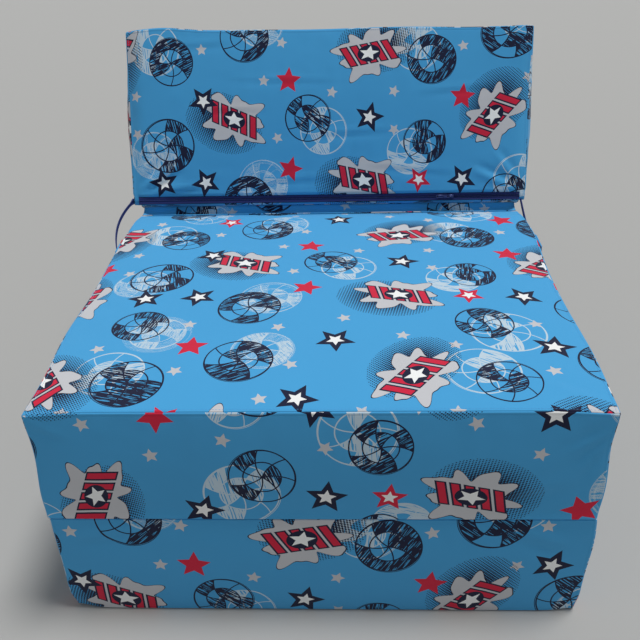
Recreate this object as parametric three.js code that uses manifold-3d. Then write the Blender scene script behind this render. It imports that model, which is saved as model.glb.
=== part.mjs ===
// Children's flip-open sofa: three foam blocks in zipped cotton covers, stacked as a chair.
// The seat block is hinged to the base along the front, so it flips forward onto the floor.
// The back block is hinged to the seat's top rear edge, so it leans, folds down or lies flat.
// Frame: millimetres, X to the right as seen from the front, Y to the back, Z up.
// The origin is the centre of the base block's underside.

import * as THREE from 'three';
import { mergeVertices } from 'three/addons/utils/BufferGeometryUtils.js';
import Module from 'manifold-3d';

// Blocks: base and seat share a plan, the back is half as long and as thick
const WIDTH = 620;
const DEPTH = 560;
const THICK = 150;
const BACK_OVERHANG = 13;
const BACK_WIDTH = WIDTH + 2 * BACK_OVERHANG;
const BACK_HEIGHT = 282;
const BACK_THICK = 150;
const BACK_LEAN_DEG = 21;

// Soft form: edge rounding, swell of the faces and pull of the seams between corners
const EDGE_RADIUS = 8;
const SEAT_CROWN = 8;
const BACK_CROWN = 6;
const FLANK_SWELL = 10;
const REAR_SWELL = 3;
const DRAW_IN = 2.5;
const LONG_STEPS = 9;
const SHORT_STEPS = 3;

// Cover and filling
const COVER_WALL = 2.4;
const FOAM_CLEAR = 0.4;
const STACK_GAP = 0.6;

// Rear hinge line: its axis lies a little proud of the two blocks that it joins
const REAR_AXIS_OUT = 3;
const REAR_AXIS_UP = 1;
const BACK_FACE_SET = 1;
const BACK_FOOT_SET = 3;
const WEB_CLEAR = 0.35;
const WEB_THICK = 1.2;
const WEB_FACE_HEIGHT = 6;

// Zips: the window in the cover, its place on each block, and the sliders' places
const ZIP_WINDOW = 12;
const ZIP_SINK = 2;
const ZIP_END_MARGIN = 9;
const SEAM_CLEAR = 0.3;
const TAPE_THICK = 0.8;
const COIL_WIDTH = 3.2;
const COIL_THICK = 2.2;
const COIL_SPLIT = 1.8;
const COIL_SPLIT_RUN = 9;
const FOAM_RELIEF = 4.2;
const BACK_ZIP_HEIGHT = 13;
const BACK_SLIDER_MARGIN = 117;
const SEAT_ZIP_HEIGHT = 40;
const BASE_ZIP_HEIGHT = 40;
const PARKED_SLIDER_MARGIN = 20;

// Zip slider: two wings on a post, with flanges that leave a slot for the tapes
const SLIDER_LENGTH = 11;
const SLIDER_MOUTH_WIDTH = 9;
const SLIDER_TAIL_WIDTH = 7.4;
const WING_THICK = 0.9;
const WING_GAP = 3;
const FLANGE_THICK = 0.8;
const TAPE_SLOT = 1.5;
const POST_LENGTH = 2.6;
const POST_WIDTH = 1;
const BAIL_LENGTH = 5.4;
const BAIL_HEIGHT = 2.8;
const BAIL_BAR = 1.2;
const BAIL_WIDTH = 1.4;
const CUT_OVERRUN = 1;

// Zip puller: an eye round the bail and a tab with a hole
const PULLER_THICK = 0.9;
const PULLER_RISE = 0.8;
const PIVOT_BACK = 0.8;
const EYE_LENGTH = 4;
const EYE_WIDTH = 2.6;
const PULLER_WIDTH = 5.4;
const PULLER_LENGTH = 23;
const PULLER_HOLE_RADIUS = 1.3;
const ROUND_STEPS = 6;

// Side straps: narrow navy tapes from the back's lower corners to printed tabs on the seat's flanks.
// The left one stands out in its slack, and the right one hangs against the flank.
const STRAP_WIDTH = 5;
const STRAP_THICK = 1.6;
const STRAP_BULGE = { left: 13, right: 2 };
const STRAP_DROP = { left: -2, right: 14 };
const STRAP_SETBACK = 10;
const STRAP_STEPS = 14;
const TAB_FROM_AXIS = 118;
const TAB_LENGTH = 44;
const TAB_HEIGHT = 14;
const TAB_THICK = 2.4;
const TAB_LAP = 10;

// Colours of the print's ground, the foam and the zip
const COTTON_BLUE = 0x3f93cd;
const FOAM_CREAM = 0xe9dfb8;
const ZIP_NAVY = 0x0e1f5a;
const SLIDER_NAVY = 0x101b4a;

const wasm = await Module();
wasm.setup();

// Turns a closed three.js geometry into a solid for cuts and joins
function toSolid(geometry) {
  const bare = geometry.clone();
  bare.deleteAttribute('normal');
  bare.deleteAttribute('uv');
  const merged = mergeVertices(bare, 1e-3);
  const vertProperties = new Float32Array(merged.attributes.position.array);
  const triVerts = new Uint32Array(merged.index.array);
  return new wasm.Manifold(new wasm.Mesh({ numProp: 3, vertProperties, triVerts }));
}

// Turns a solid back into a geometry
function toGeometry(solid) {
  const mesh = solid.getMesh();
  const geometry = new THREE.BufferGeometry();
  geometry.setAttribute('position', new THREE.BufferAttribute(mesh.vertProperties.slice(), 3));
  geometry.setIndex(new THREE.BufferAttribute(mesh.triVerts.slice(), 1));
  geometry.computeVertexNormals();
  return geometry;
}

// A box with its centre at a place
function boxAt(sizeX, sizeY, sizeZ, x, y, z) {
  return new THREE.BoxGeometry(sizeX, sizeY, sizeZ).translate(x, y, z);
}

// A flat outline in X and Z, made thick along Y between two levels
function plate(outline, nearY, farY) {
  const depth = farY - nearY;
  const geometry = new THREE.ExtrudeGeometry(outline, { depth, bevelEnabled: false, curveSegments: ROUND_STEPS });
  return geometry.rotateX(Math.PI / 2).translate(0, farY, 0);
}

// Grid lines over one side of a block: one at each edge, one where the rounding ends
function gridLines(length, radius, steps) {
  const lines = [0];
  for (let i = 0; i <= steps; i += 1) {
    lines.push(radius + ((length - 2 * radius) * i) / steps);
  }
  lines.push(length);
  return lines.map((line) => line - length / 2);
}

// Share of a swell at a place across a face: none at the edges, all of it in the middle
function swellShare(a, b) {
  return Math.cos((Math.PI * a) / 2) * Math.cos((Math.PI * b) / 2);
}

// A stuffed block: rounded edges, swollen faces and flanks drawn in between the corners.
// size is its full size, swell how far each face stands out, inset how far all of it lies inside.
function softBlock(size, swell, inset) {
  const half = size.map((length) => length / 2 - inset);
  const radius = EDGE_RADIUS - inset;
  const steps = [LONG_STEPS, LONG_STEPS, SHORT_STEPS];
  if (size[1] < size[2]) {
    steps[1] = SHORT_STEPS;
    steps[2] = LONG_STEPS;
  }
  const lines = half.map((length, axis) => gridLines(2 * length, radius, steps[axis]));
  const positions = [];
  const index = [];

  // Rounds the edges, then swells the face that the point lies on
  function place(point) {
    const core = point.map((value, axis) => {
      const reach = half[axis] - radius;
      return Math.min(Math.max(value, -reach), reach);
    });
    const out = point.map((value, axis) => value - core[axis]);
    const length = Math.hypot(...out);
    const placed = core.map((value, axis) => value + (out[axis] * radius) / length);
    const [u, v, w] = point.map((value, axis) => value / half[axis]);
    if (Math.abs(u) === 1) placed[0] += u * swell.flank * swellShare(v, w);
    if (v === -1) placed[1] -= swell.front * swellShare(u, w);
    if (v === 1) placed[1] += swell.rear * swellShare(u, w);
    if (w === 1) placed[2] += swell.top * swellShare(u, v);
    const along = size[1] < size[2] ? w : v;
    placed[0] -= u * DRAW_IN * Math.cos((Math.PI * along) / 2);
    return placed;
  }

  // One face of the block, as a grid of squares cut in two
  function addFace(axis, sign) {
    const first = (axis + 1) % 3;
    const second = (axis + 2) % 3;
    const start = positions.length / 3;
    const row = lines[second].length;
    for (const a of lines[first]) {
      for (const b of lines[second]) {
        const point = [0, 0, 0];
        point[axis] = sign * half[axis];
        point[first] = a;
        point[second] = b;
        positions.push(...place(point));
      }
    }
    for (let i = 0; i + 1 < lines[first].length; i += 1) {
      for (let j = 0; j + 1 < row; j += 1) {
        const corner = start + i * row + j;
        const quad = [corner, corner + row, corner + row + 1, corner + 1];
        if (sign < 0) quad.reverse();
        index.push(quad[0], quad[1], quad[2], quad[0], quad[2], quad[3]);
      }
    }
  }

  for (let axis = 0; axis < 3; axis += 1) {
    addFace(axis, 1);
    addFace(axis, -1);
  }
  const geometry = new THREE.BufferGeometry();
  geometry.setAttribute('position', new THREE.Float32BufferAttribute(positions, 3));
  geometry.setIndex(index);
  return geometry;
}

const group = new THREE.Group();
const seatGroup = new THREE.Group();
const backGroup = new THREE.Group();
group.add(seatGroup);
group.add(backGroup);

// Adds one named piece to a group
function addPiece(parent, name, geometry, color, roughness = 0.9, metalness = 0) {
  const material = new THREE.MeshStandardMaterial({ color, roughness, metalness });
  const mesh = new THREE.Mesh(geometry, material);
  mesh.name = name;
  parent.add(mesh);
}

// Cover and foam of one block. The block stands on its own ground, with the zip's window cut
// through one wall at a height. wallSign is -1 for the front wall and 1 for the rear one.
function addBlock(parent, prefix, size, swell, zipHeight, wallSign) {
  const [width, depth, height] = size;
  const zipLength = width - 2 * ZIP_END_MARGIN;
  const wallY = (wallSign * depth) / 2;
  const window = toSolid(boxAt(zipLength, 2 * FOAM_RELIEF, ZIP_WINDOW, 0, wallY, zipHeight - height / 2));
  const relief = toSolid(
    boxAt(zipLength + 2 * SEAM_CLEAR, 2 * (COVER_WALL + FOAM_RELIEF), ZIP_WINDOW, 0, wallY, zipHeight - height / 2),
  );
  const outside = toSolid(softBlock(size, swell, 0));
  const cavity = toSolid(softBlock(size, swell, COVER_WALL));
  const cover = toGeometry(outside.subtract(cavity).subtract(window));
  const filling = toSolid(softBlock(size, swell, COVER_WALL + FOAM_CLEAR));
  const foam = toGeometry(filling.subtract(relief));
  addPiece(parent, `${prefix}_cover`, cover.translate(0, 0, height / 2), COTTON_BLUE);
  addPiece(parent, `${prefix}_foam`, foam.translate(0, 0, height / 2), FOAM_CREAM, 1);
  return zipLength;
}

// Half of the zip: where the chain's or a tape's inner edge lies, before and after the split
function splitEdge(startX, endX, sliderX, closedZ, openZ) {
  const splitEnd = Math.min(sliderX + COIL_SPLIT_RUN, endX);
  return [
    [startX, closedZ],
    [sliderX, closedZ],
    [splitEnd, openZ],
    [endX, openZ],
  ];
}

function outlineOf(points) {
  const shape = new THREE.Shape();
  points.forEach(([x, z], i) => (i === 0 ? shape.moveTo(x, z) : shape.lineTo(x, z)));
  shape.closePath();
  return shape;
}

// Points of an arc about a place on X, without the point that ends it
function arcPoints(centreX, radius, start, sweep, steps) {
  const points = [];
  for (let i = 0; i < steps; i += 1) {
    const angle = start + (sweep * i) / steps;
    points.push([centreX + radius * Math.cos(angle), radius * Math.sin(angle)]);
  }
  return points;
}

// Tapes and chain of a zip, in the zip's frame: X along it, Z across it and -Y outwards.
// The chain is closed up to the slider and its two rows part round the slider's post beyond it.
function addChain(parent, prefix, length, sliderX) {
  const startX = -length / 2 + SEAM_CLEAR;
  const endX = length / 2 - SEAM_CLEAR;
  const tapeOuter = ZIP_WINDOW / 2 - SEAM_CLEAR;
  const coilHalf = COIL_WIDTH / 2;
  const tapeInner = splitEdge(
    startX,
    endX,
    sliderX,
    coilHalf + SEAM_CLEAR,
    coilHalf + COIL_SPLIT / 2 + SEAM_CLEAR,
  );
  for (const [side, sign] of [['upper', 1], ['lower', -1]]) {
    const points = [...tapeInner, [endX, tapeOuter], [startX, tapeOuter]];
    const outline = outlineOf(points.map(([x, z]) => [x, sign * z]));
    addPiece(parent, `${prefix}_zip_tape_${side}`, plate(outline, -TAPE_THICK / 2, TAPE_THICK / 2), ZIP_NAVY);
  }
  const outer = splitEdge(startX, endX, sliderX, coilHalf, coilHalf + COIL_SPLIT / 2);
  const inner = [
    [sliderX, 0],
    [Math.min(sliderX + COIL_SPLIT_RUN, endX), COIL_SPLIT / 2],
    [endX, COIL_SPLIT / 2],
  ];
  const mirrored = (points) => points.map(([x, z]) => [x, -z]);
  const coil = outlineOf([
    ...outer,
    ...[...inner].reverse(),
    ...mirrored(inner).slice(1),
    ...mirrored(outer).reverse(),
  ]);
  addPiece(parent, `${prefix}_zip_coil`, plate(coil, -COIL_THICK / 2, COIL_THICK / 2), ZIP_NAVY);
}

// Slider body: wings, post, flanges and the bail that holds the puller
function sliderBody() {
  const frontX = SLIDER_LENGTH / 2;
  const mouth = SLIDER_MOUTH_WIDTH / 2;
  const tail = SLIDER_TAIL_WIDTH / 2;
  const wing = outlineOf([
    [-frontX, -tail],
    [frontX - mouth, -mouth],
    [frontX, -mouth + FLANGE_THICK],
    [frontX, mouth - FLANGE_THICK],
    [frontX - mouth, mouth],
    [-frontX, tail],
  ]);
  const wingNear = WING_GAP / 2;
  const wingFar = wingNear + WING_THICK;
  let body = toSolid(plate(wing, -wingFar, -wingNear)).add(toSolid(plate(wing, wingNear, wingFar)));
  const postX = frontX - POST_LENGTH;
  const post = outlineOf([
    [postX - POST_LENGTH / 2, 0],
    [postX, -POST_WIDTH / 2],
    [frontX, -POST_WIDTH / 2],
    [frontX, POST_WIDTH / 2],
    [postX, POST_WIDTH / 2],
  ]);
  const joined = WING_THICK / 2;
  body = body.add(toSolid(plate(post, -wingNear - joined, wingNear + joined)));
  for (const side of [-1, 1]) {
    for (const wall of [-1, 1]) {
      const flange = outlineOf([
        [-frontX, side * tail],
        [frontX - mouth, side * mouth],
        [frontX - mouth, side * (mouth - FLANGE_THICK)],
        [-frontX, side * (tail - FLANGE_THICK)],
      ]);
      const low = wall > 0 ? TAPE_SLOT / 2 : -wingNear - joined;
      const high = wall > 0 ? wingNear + joined : -TAPE_SLOT / 2;
      body = body.add(toSolid(plate(flange, low, high)));
    }
  }
  const bailNear = wingFar - joined;
  const bailFar = wingFar + BAIL_HEIGHT;
  const bailY = -(bailNear + bailFar) / 2;
  const bail = toSolid(boxAt(BAIL_LENGTH, bailFar - bailNear, BAIL_WIDTH, 0, bailY, 0));
  const windowHeight = BAIL_HEIGHT - BAIL_BAR;
  const windowY = -(wingFar + windowHeight / 2);
  const eye = boxAt(BAIL_LENGTH - 2 * BAIL_BAR, windowHeight, BAIL_WIDTH + CUT_OVERRUN, 0, windowY, 0);
  return toGeometry(body.add(bail.subtract(toSolid(eye))));
}

// Puller: it lies back along the closed chain, with the far bar of its eye inside the bail
function pullerBody() {
  const eyeStart = PULLER_THICK / 2;
  const neck = PULLER_WIDTH / 2;
  const tabEnd = -PULLER_LENGTH + neck;
  const outline = outlineOf([
    [eyeStart, -neck],
    [eyeStart, neck],
    ...arcPoints(tabEnd, neck, Math.PI / 2, Math.PI, 2 * ROUND_STEPS),
    [tabEnd, -neck],
  ]);
  const half = PULLER_THICK / 2;
  const cut = half + CUT_OVERRUN;
  const hole = outlineOf(arcPoints(tabEnd, PULLER_HOLE_RADIUS, 0, 2 * Math.PI, 2 * ROUND_STEPS));
  const eye = boxAt(EYE_LENGTH, 2 * cut, EYE_WIDTH, -eyeStart - EYE_LENGTH / 2, 0, 0);
  const tab = toSolid(plate(outline, -half, half));
  return toGeometry(tab.subtract(toSolid(plate(hole, -cut, cut))).subtract(toSolid(eye)));
}

// A whole zip in its window. wallSign turns it to face the front or the rear.
// sliderMargin is how far the chain's split starts from the zip's end.
function addZip(parent, prefix, length, wallY, height, wallSign, sliderMargin) {
  const sliderX = length / 2 - sliderMargin;
  const zip = new THREE.Group();
  zip.position.set(0, wallY - wallSign * ZIP_SINK, height);
  zip.rotation.z = wallSign < 0 ? 0 : Math.PI;
  parent.add(zip);
  addChain(zip, prefix, length, sliderX);
  const slider = new THREE.Group();
  slider.position.x = sliderX + COIL_SPLIT_RUN / 2;
  zip.add(slider);
  addPiece(slider, `${prefix}_zip_slider`, sliderBody(), SLIDER_NAVY, 0.4, 0.6);
  const wingFar = WING_GAP / 2 + WING_THICK;
  const puller = pullerBody().translate(-PIVOT_BACK, -(wingFar + PULLER_RISE), 0);
  addPiece(slider, `${prefix}_zip_puller`, puller, SLIDER_NAVY, 0.4, 0.6);
}

// Base block, on the floor
const blockSize = [WIDTH, DEPTH, THICK];
const baseSwell = { flank: FLANK_SWELL, front: 0, rear: REAR_SWELL, top: 0 };
const baseZip = addBlock(group, 'base', blockSize, baseSwell, BASE_ZIP_HEIGHT, 1);
addZip(group, 'base', baseZip, DEPTH / 2, BASE_ZIP_HEIGHT, 1, PARKED_SLIDER_MARGIN);

// Seat block, stacked on the base
seatGroup.position.z = THICK + STACK_GAP;
const seatSwell = { flank: FLANK_SWELL, front: 0, rear: 0, top: SEAT_CROWN };
const seatZip = addBlock(seatGroup, 'seat', blockSize, seatSwell, SEAT_ZIP_HEIGHT, 1);
addZip(seatGroup, 'seat', seatZip, DEPTH / 2, SEAT_ZIP_HEIGHT, 1, PARKED_SLIDER_MARGIN);
const seatTop = 2 * THICK + STACK_GAP;

// Back block, hung from the seat's top rear edge and leaning back
const axisY = DEPTH / 2 + REAR_AXIS_OUT;
const axisZ = seatTop + REAR_AXIS_UP;
const lean = THREE.MathUtils.degToRad(BACK_LEAN_DEG);
backGroup.position.set(0, axisY, axisZ);
backGroup.rotation.x = -lean;
const backBody = new THREE.Group();
backBody.position.set(0, BACK_FACE_SET + BACK_THICK / 2, BACK_FOOT_SET);
backGroup.add(backBody);
const backSize = [BACK_WIDTH, BACK_THICK, BACK_HEIGHT];
const backSwell = { flank: FLANK_SWELL, front: BACK_CROWN, rear: BACK_CROWN, top: REAR_SWELL };
const backZip = addBlock(backBody, 'back', backSize, backSwell, BACK_ZIP_HEIGHT, -1);
addZip(backBody, 'back', backZip, -BACK_THICK / 2, BACK_ZIP_HEIGHT, -1, BACK_SLIDER_MARGIN);

// Depth of a rounded edge's surface at a height above its face's end
function roundingDepth(height) {
  const inside = EDGE_RADIUS - height;
  return EDGE_RADIUS - Math.sqrt(EDGE_RADIUS * EDGE_RADIUS - inside * inside);
}

// Front hinge web: the sewn fold that fills the groove between base and seat
const webLength = WIDTH - 2 * (EDGE_RADIUS + DRAW_IN);
const webHalf = WEB_FACE_HEIGHT / 2;
const frontY = -DEPTH / 2;
const midGroove = webHalf / 2;
const frontWeb = new THREE.Shape();
frontWeb.moveTo(frontY + WEB_CLEAR, -webHalf);
frontWeb.lineTo(frontY + roundingDepth(midGroove) - WEB_CLEAR, -midGroove + STACK_GAP / 2);
frontWeb.lineTo(frontY + EDGE_RADIUS / 2, 0);
frontWeb.lineTo(frontY + roundingDepth(midGroove) - WEB_CLEAR, midGroove - STACK_GAP / 2);
frontWeb.lineTo(frontY + WEB_CLEAR, webHalf);
frontWeb.closePath();

// A strip that runs along X, from an outline in Y and Z
function stripAlongX(outline, length) {
  const geometry = new THREE.ExtrudeGeometry(outline, { depth: length, bevelEnabled: false });
  geometry.applyMatrix4(new THREE.Matrix4().makeBasis(
    new THREE.Vector3(0, 1, 0),
    new THREE.Vector3(0, 0, 1),
    new THREE.Vector3(1, 0, 0),
  ));
  return geometry.translate(-length / 2, 0, 0);
}

const frontWebGeometry = stripAlongX(frontWeb, webLength).translate(0, 0, THICK + STACK_GAP / 2);
addPiece(group, 'front_hinge_web', frontWebGeometry, COTTON_BLUE);

// Rear hinge web: from the seat's rounded edge, across the axis, to the back's rounded edge
const seatCorner = new THREE.Vector2(-REAR_AXIS_OUT - EDGE_RADIUS, -REAR_AXIS_UP - EDGE_RADIUS);
const backCorner = new THREE.Vector2(BACK_FACE_SET + EDGE_RADIUS, BACK_FOOT_SET + EDGE_RADIUS)
  .rotateAround(new THREE.Vector2(0, 0), -lean);
const seatSeam = seatCorner.clone().setLength(seatCorner.length() - EDGE_RADIUS - WEB_CLEAR);
const backSeam = backCorner.clone().setLength(backCorner.length() - EDGE_RADIUS - WEB_CLEAR);
const webNormal = backSeam.clone().sub(seatSeam).rotateAround(new THREE.Vector2(0, 0), Math.PI / 2);
webNormal.setLength(WEB_THICK / 2);
const rearWeb = outlineOf([
  [seatSeam.x - webNormal.x, seatSeam.y - webNormal.y],
  [backSeam.x - webNormal.x, backSeam.y - webNormal.y],
  [backSeam.x + webNormal.x, backSeam.y + webNormal.y],
  [seatSeam.x + webNormal.x, seatSeam.y + webNormal.y],
]);
const rearWebGeometry = stripAlongX(rearWeb, webLength).translate(0, axisY, axisZ);
addPiece(group, 'rear_hinge_web', rearWebGeometry, COTTON_BLUE);

// A flat tape along a curve, its width standing up
function tapeAlong(curve, width, thick, steps) {
  const positions = [];
  const index = [];
  const up = new THREE.Vector3(0, 0, 1);
  for (let i = 0; i <= steps; i += 1) {
    const centre = curve.getPoint(i / steps);
    const out = curve.getTangent(i / steps).cross(up).setLength(thick / 2);
    for (const [side, level] of [[-1, -1], [1, -1], [1, 1], [-1, 1]]) {
      const point = centre.clone().addScaledVector(out, side);
      point.z += (level * width) / 2;
      positions.push(point.x, point.y, point.z);
    }
  }
  for (let i = 0; i < steps; i += 1) {
    for (let j = 0; j < 4; j += 1) {
      const a = 4 * i + j;
      const b = 4 * i + ((j + 1) % 4);
      index.push(a, b + 4, b, a, a + 4, b + 4);
    }
  }
  const last = 4 * steps;
  index.push(0, 1, 2, 0, 2, 3, last, last + 2, last + 1, last, last + 3, last + 2);
  const geometry = new THREE.BufferGeometry();
  geometry.setAttribute('position', new THREE.Float32BufferAttribute(positions, 3));
  geometry.setIndex(index);
  return geometry;
}

// How far out a seat flank stands at a place, where the cover swells between its seams
function flankReach(y, z) {
  const along = y / (DEPTH / 2);
  const level = (z - seatGroup.position.z) / (THICK / 2) - 1;
  return WIDTH / 2 - DRAW_IN * Math.cos((Math.PI * along) / 2) + FLANK_SWELL * swellShare(along, level);
}

// Side straps: slack tape from the back's lower corner to a sewn tab on the seat's flank
const tabY = axisY - TAB_FROM_AXIS;
const tabZ = seatTop - EDGE_RADIUS - TAB_HEIGHT / 2;
const tabIn = flankReach(tabY - TAB_LENGTH / 2, tabZ - TAB_HEIGHT / 2) + SEAM_CLEAR;
const strapEndX = tabIn + TAB_THICK + SEAM_CLEAR + STRAP_THICK / 2;
const strapEndY = tabY + TAB_LENGTH / 2 - TAB_LAP;
const strapRun = axisY - strapEndY;
const strapStartX = BACK_WIDTH / 2 + SEAM_CLEAR + STRAP_THICK / 2;
const strapStart = new THREE.Vector2(STRAP_SETBACK, BACK_FOOT_SET + BACK_ZIP_HEIGHT)
  .rotateAround(new THREE.Vector2(0, 0), -lean);
for (const [side, sign] of [['left', -1], ['right', 1]]) {
  const bulgeX = Math.max(strapStartX, strapEndX) + STRAP_BULGE[side];
  const drop = STRAP_DROP[side];
  const curve = new THREE.CubicBezierCurve3(
    new THREE.Vector3(sign * strapStartX, axisY + strapStart.x, axisZ + strapStart.y),
    new THREE.Vector3(sign * bulgeX, axisY - strapRun / 4, axisZ - drop),
    new THREE.Vector3(sign * bulgeX, axisY - strapRun / 2, tabZ - drop),
    new THREE.Vector3(sign * strapEndX, strapEndY, tabZ),
  );
  addPiece(group, `${side}_side_strap`, tapeAlong(curve, STRAP_WIDTH, STRAP_THICK, STRAP_STEPS), ZIP_NAVY);
  const tab = boxAt(TAB_THICK, TAB_LENGTH, TAB_HEIGHT, sign * (tabIn + TAB_THICK / 2), tabY, tabZ);
  addPiece(group, `${side}_strap_anchor`, tab, COTTON_BLUE);
}

export default group;
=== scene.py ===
# %% [markdown]
# # A child's flip-open sofa
# Three foam blocks in zipped cotton covers: a base, a seat stacked on it and a back that leans
# behind the seat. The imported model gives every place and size, so the script loads it first and
# builds the soft, stitched and printed surfaces round it. Its lengths are written in
# millimetres, as a maker would, and become metres when a mesh is made.

# %% Load the frame
import math

import bmesh
import bpy
import numpy as np
from mathutils import Matrix, Vector
from mathutils.bvhtree import BVHTree


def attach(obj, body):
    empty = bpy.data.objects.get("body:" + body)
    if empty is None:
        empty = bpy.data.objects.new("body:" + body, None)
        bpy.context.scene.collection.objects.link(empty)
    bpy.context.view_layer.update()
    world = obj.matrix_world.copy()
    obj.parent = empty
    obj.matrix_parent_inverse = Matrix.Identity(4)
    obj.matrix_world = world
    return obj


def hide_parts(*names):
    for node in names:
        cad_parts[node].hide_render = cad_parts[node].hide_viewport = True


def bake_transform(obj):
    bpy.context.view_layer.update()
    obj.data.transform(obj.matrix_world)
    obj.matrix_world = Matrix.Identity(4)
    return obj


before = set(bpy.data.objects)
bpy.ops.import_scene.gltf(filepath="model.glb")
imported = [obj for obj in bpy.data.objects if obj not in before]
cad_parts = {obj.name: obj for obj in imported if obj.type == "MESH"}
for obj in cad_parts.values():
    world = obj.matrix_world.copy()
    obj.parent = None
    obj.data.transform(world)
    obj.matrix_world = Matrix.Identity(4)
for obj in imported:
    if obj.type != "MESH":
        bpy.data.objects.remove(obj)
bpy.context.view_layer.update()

MM = 0.001
scene = bpy.context.scene


def new_object(name, data):
    """An object that shows its data in the scene."""
    thing = bpy.data.objects.new(name, data)
    scene.collection.objects.link(thing)
    return thing


# %% [markdown]
# ## Camera
# The camera stands where the photograph was taken: about a metre in front of the sofa and 0.8 m
# up, looking down by some 30 degrees. Its place came from matching the corners of the blocks, so
# it is written as plain numbers: a place, three turns and a focal length in picture points.

# %% Camera
CAMERA_PLACE = (41.96, -968.63, 806.09)
CAMERA_YAW, CAMERA_PITCH, CAMERA_ROLL = -0.0479, 0.5199, -0.0321
FOCAL_POINTS = 810.9
PICTURE_POINTS = 640
SENSOR = 36

ahead = Vector((
    math.sin(CAMERA_YAW) * math.cos(CAMERA_PITCH),
    math.cos(CAMERA_YAW) * math.cos(CAMERA_PITCH),
    -math.sin(CAMERA_PITCH),
))
level = Vector((math.cos(CAMERA_YAW), -math.sin(CAMERA_YAW), 0))
above = level.cross(ahead)
right = math.cos(CAMERA_ROLL) * level + math.sin(CAMERA_ROLL) * above
up = -math.sin(CAMERA_ROLL) * level + math.cos(CAMERA_ROLL) * above
camera_data = bpy.data.cameras.new("camera")
camera_data.sensor_width = SENSOR
camera_data.lens = SENSOR * FOCAL_POINTS / PICTURE_POINTS
camera = new_object("camera", camera_data)
turned = Matrix((right, up, -ahead)).transposed().to_4x4()
camera.matrix_world = Matrix.Translation(Vector(CAMERA_PLACE) * MM) @ turned
scene.camera = camera
print("lens:", round(camera_data.lens, 1), "mm")

# %% [markdown]
# ## A short way to write materials
# The printed cotton needs a few hundred small sums, so a helper adds one node and feeds its
# inputs in one call. A feed may be a number, a tuple or another node's output, and it goes to an
# input by its number or by its name.

# %% Node helper


def linear(hex_colour):
    """A colour written as in a paint shop, turned into the linear numbers that a shader takes."""
    parts = [int(hex_colour[i:i + 2], 16) / 255 for i in (1, 3, 5)]
    return tuple(c / 12.92 if c <= 0.04045 else ((c + 0.055) / 1.055) ** 2.4 for c in parts) + (1,)


class Bench:
    """Adds nodes to a tree, each fed by values or by the outputs of others."""

    def __init__(self, tree):
        self.tree = tree

    def feed(self, node, feeds):
        for socket, feed in feeds.items():
            if isinstance(feed, bpy.types.NodeSocket):
                self.tree.links.new(feed, node.inputs[socket])
            elif feed is not None:
                node.inputs[socket].default_value = feed

    def add(self, kind, *feeds, out=0, named=(), **settings):
        node = self.tree.nodes.new(kind)
        for key, value in settings.items():
            setattr(node, key, value)
        self.feed(node, dict(enumerate(feeds)) | dict(named))
        return node.outputs[out] if node.outputs else None

    def sum(self, operation, *feeds):
        return self.add("ShaderNodeMath", *feeds, operation=operation)

    def vector(self, operation, *feeds, out=0):
        return self.add("ShaderNodeVectorMath", *feeds, operation=operation, out=out)

    def axes(self, vector):
        """The X, Y and Z of a vector."""
        return self.add("ShaderNodeSeparateXYZ", vector, out=slice(3))

    def blend(self, share, low, high):
        """A colour between two."""
        return self.add("ShaderNodeMix", out=2, named={0: share, 6: low, 7: high}, data_type="RGBA")

    def bump(self, height, strength, depth):
        """A surface that a height lifts. Its depth is in millimetres."""
        return self.add("ShaderNodeBump", named={
            "Strength": strength, "Distance": depth * MM, "Height": height})


def new_material(name):
    """A material, the bench for its nodes and its shader."""
    material = bpy.data.materials.new(name)
    material.use_nodes = True
    tree = material.node_tree
    return material, Bench(tree), tree.nodes["Principled BSDF"]


print("node helper ready")

# %% [markdown]
# ## Light and floor
# In the photograph the light falls from above, so the seat's top is brightest and the upright
# faces are about half as bright. A sun overhead does that. It is as wide as a ceiling lamp, so its
# shadows are soft, and it is tilted a little to the right, so they fall to the left. The world
# fills them. The floor is plain and pale, and it only takes the sofa's shadow.

# %% Light and floor
FLOOR_REACH = 25
FLOOR_COLOUR = (0.395, 0.39, 0.375, 1)
FLOOR_ROUGHNESS = 0.8
SUN_FROM = (0.24, 0.03, 1)
SUN_STRENGTH = 2.35
SUN_WIDTH_DEG = 16
FILL_COLOUR, FILL_STRENGTH = (0.93, 0.98, 1.04, 1), 0.30
BACKDROP_COLOUR = (0.86, 0.88, 0.9, 1)

sun_data = bpy.data.lights.new("overhead_light", "SUN")
sun_data.energy = SUN_STRENGTH
sun_data.angle = math.radians(SUN_WIDTH_DEG)
sun = new_object("overhead_light", sun_data)
sun.rotation_euler = Vector(SUN_FROM).to_track_quat("Z", "Y").to_euler()

world = bpy.data.worlds.new("studio")
world.use_nodes = True
scene.world = world
world.node_tree.nodes.clear()
sky = Bench(world.node_tree)
rays = world.node_tree.nodes.new("ShaderNodeLightPath").outputs
shiny = sky.sum("MAXIMUM", rays["Is Glossy Ray"], rays["Is Transmission Ray"])
seen = sky.sum("MAXIMUM", rays["Is Camera Ray"], shiny)
fill = sky.add("ShaderNodeBackground", FILL_COLOUR, FILL_STRENGTH)
backdrop = sky.add("ShaderNodeBackground", BACKDROP_COLOUR)
sky.add("ShaderNodeOutputWorld", sky.add("ShaderNodeMixShader", seen, fill, backdrop))

floor_mesh = bpy.data.meshes.new("floor")
corners = [(-1, -1), (1, -1), (1, 1), (-1, 1)]
floor_mesh.from_pydata([(x * FLOOR_REACH, y * FLOOR_REACH, 0) for x, y in corners], [],
                       [(0, 1, 2, 3)])
floor = new_object("floor", floor_mesh)
floor_paint, floor_bench, floor_shader = new_material("pale_floor")
floor_bench.feed(floor_shader, {"Base Color": FLOOR_COLOUR, "Roughness": FLOOR_ROUGHNESS})
floor_mesh.materials.append(floor_paint)

scene.view_settings.view_transform = "Standard"

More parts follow.
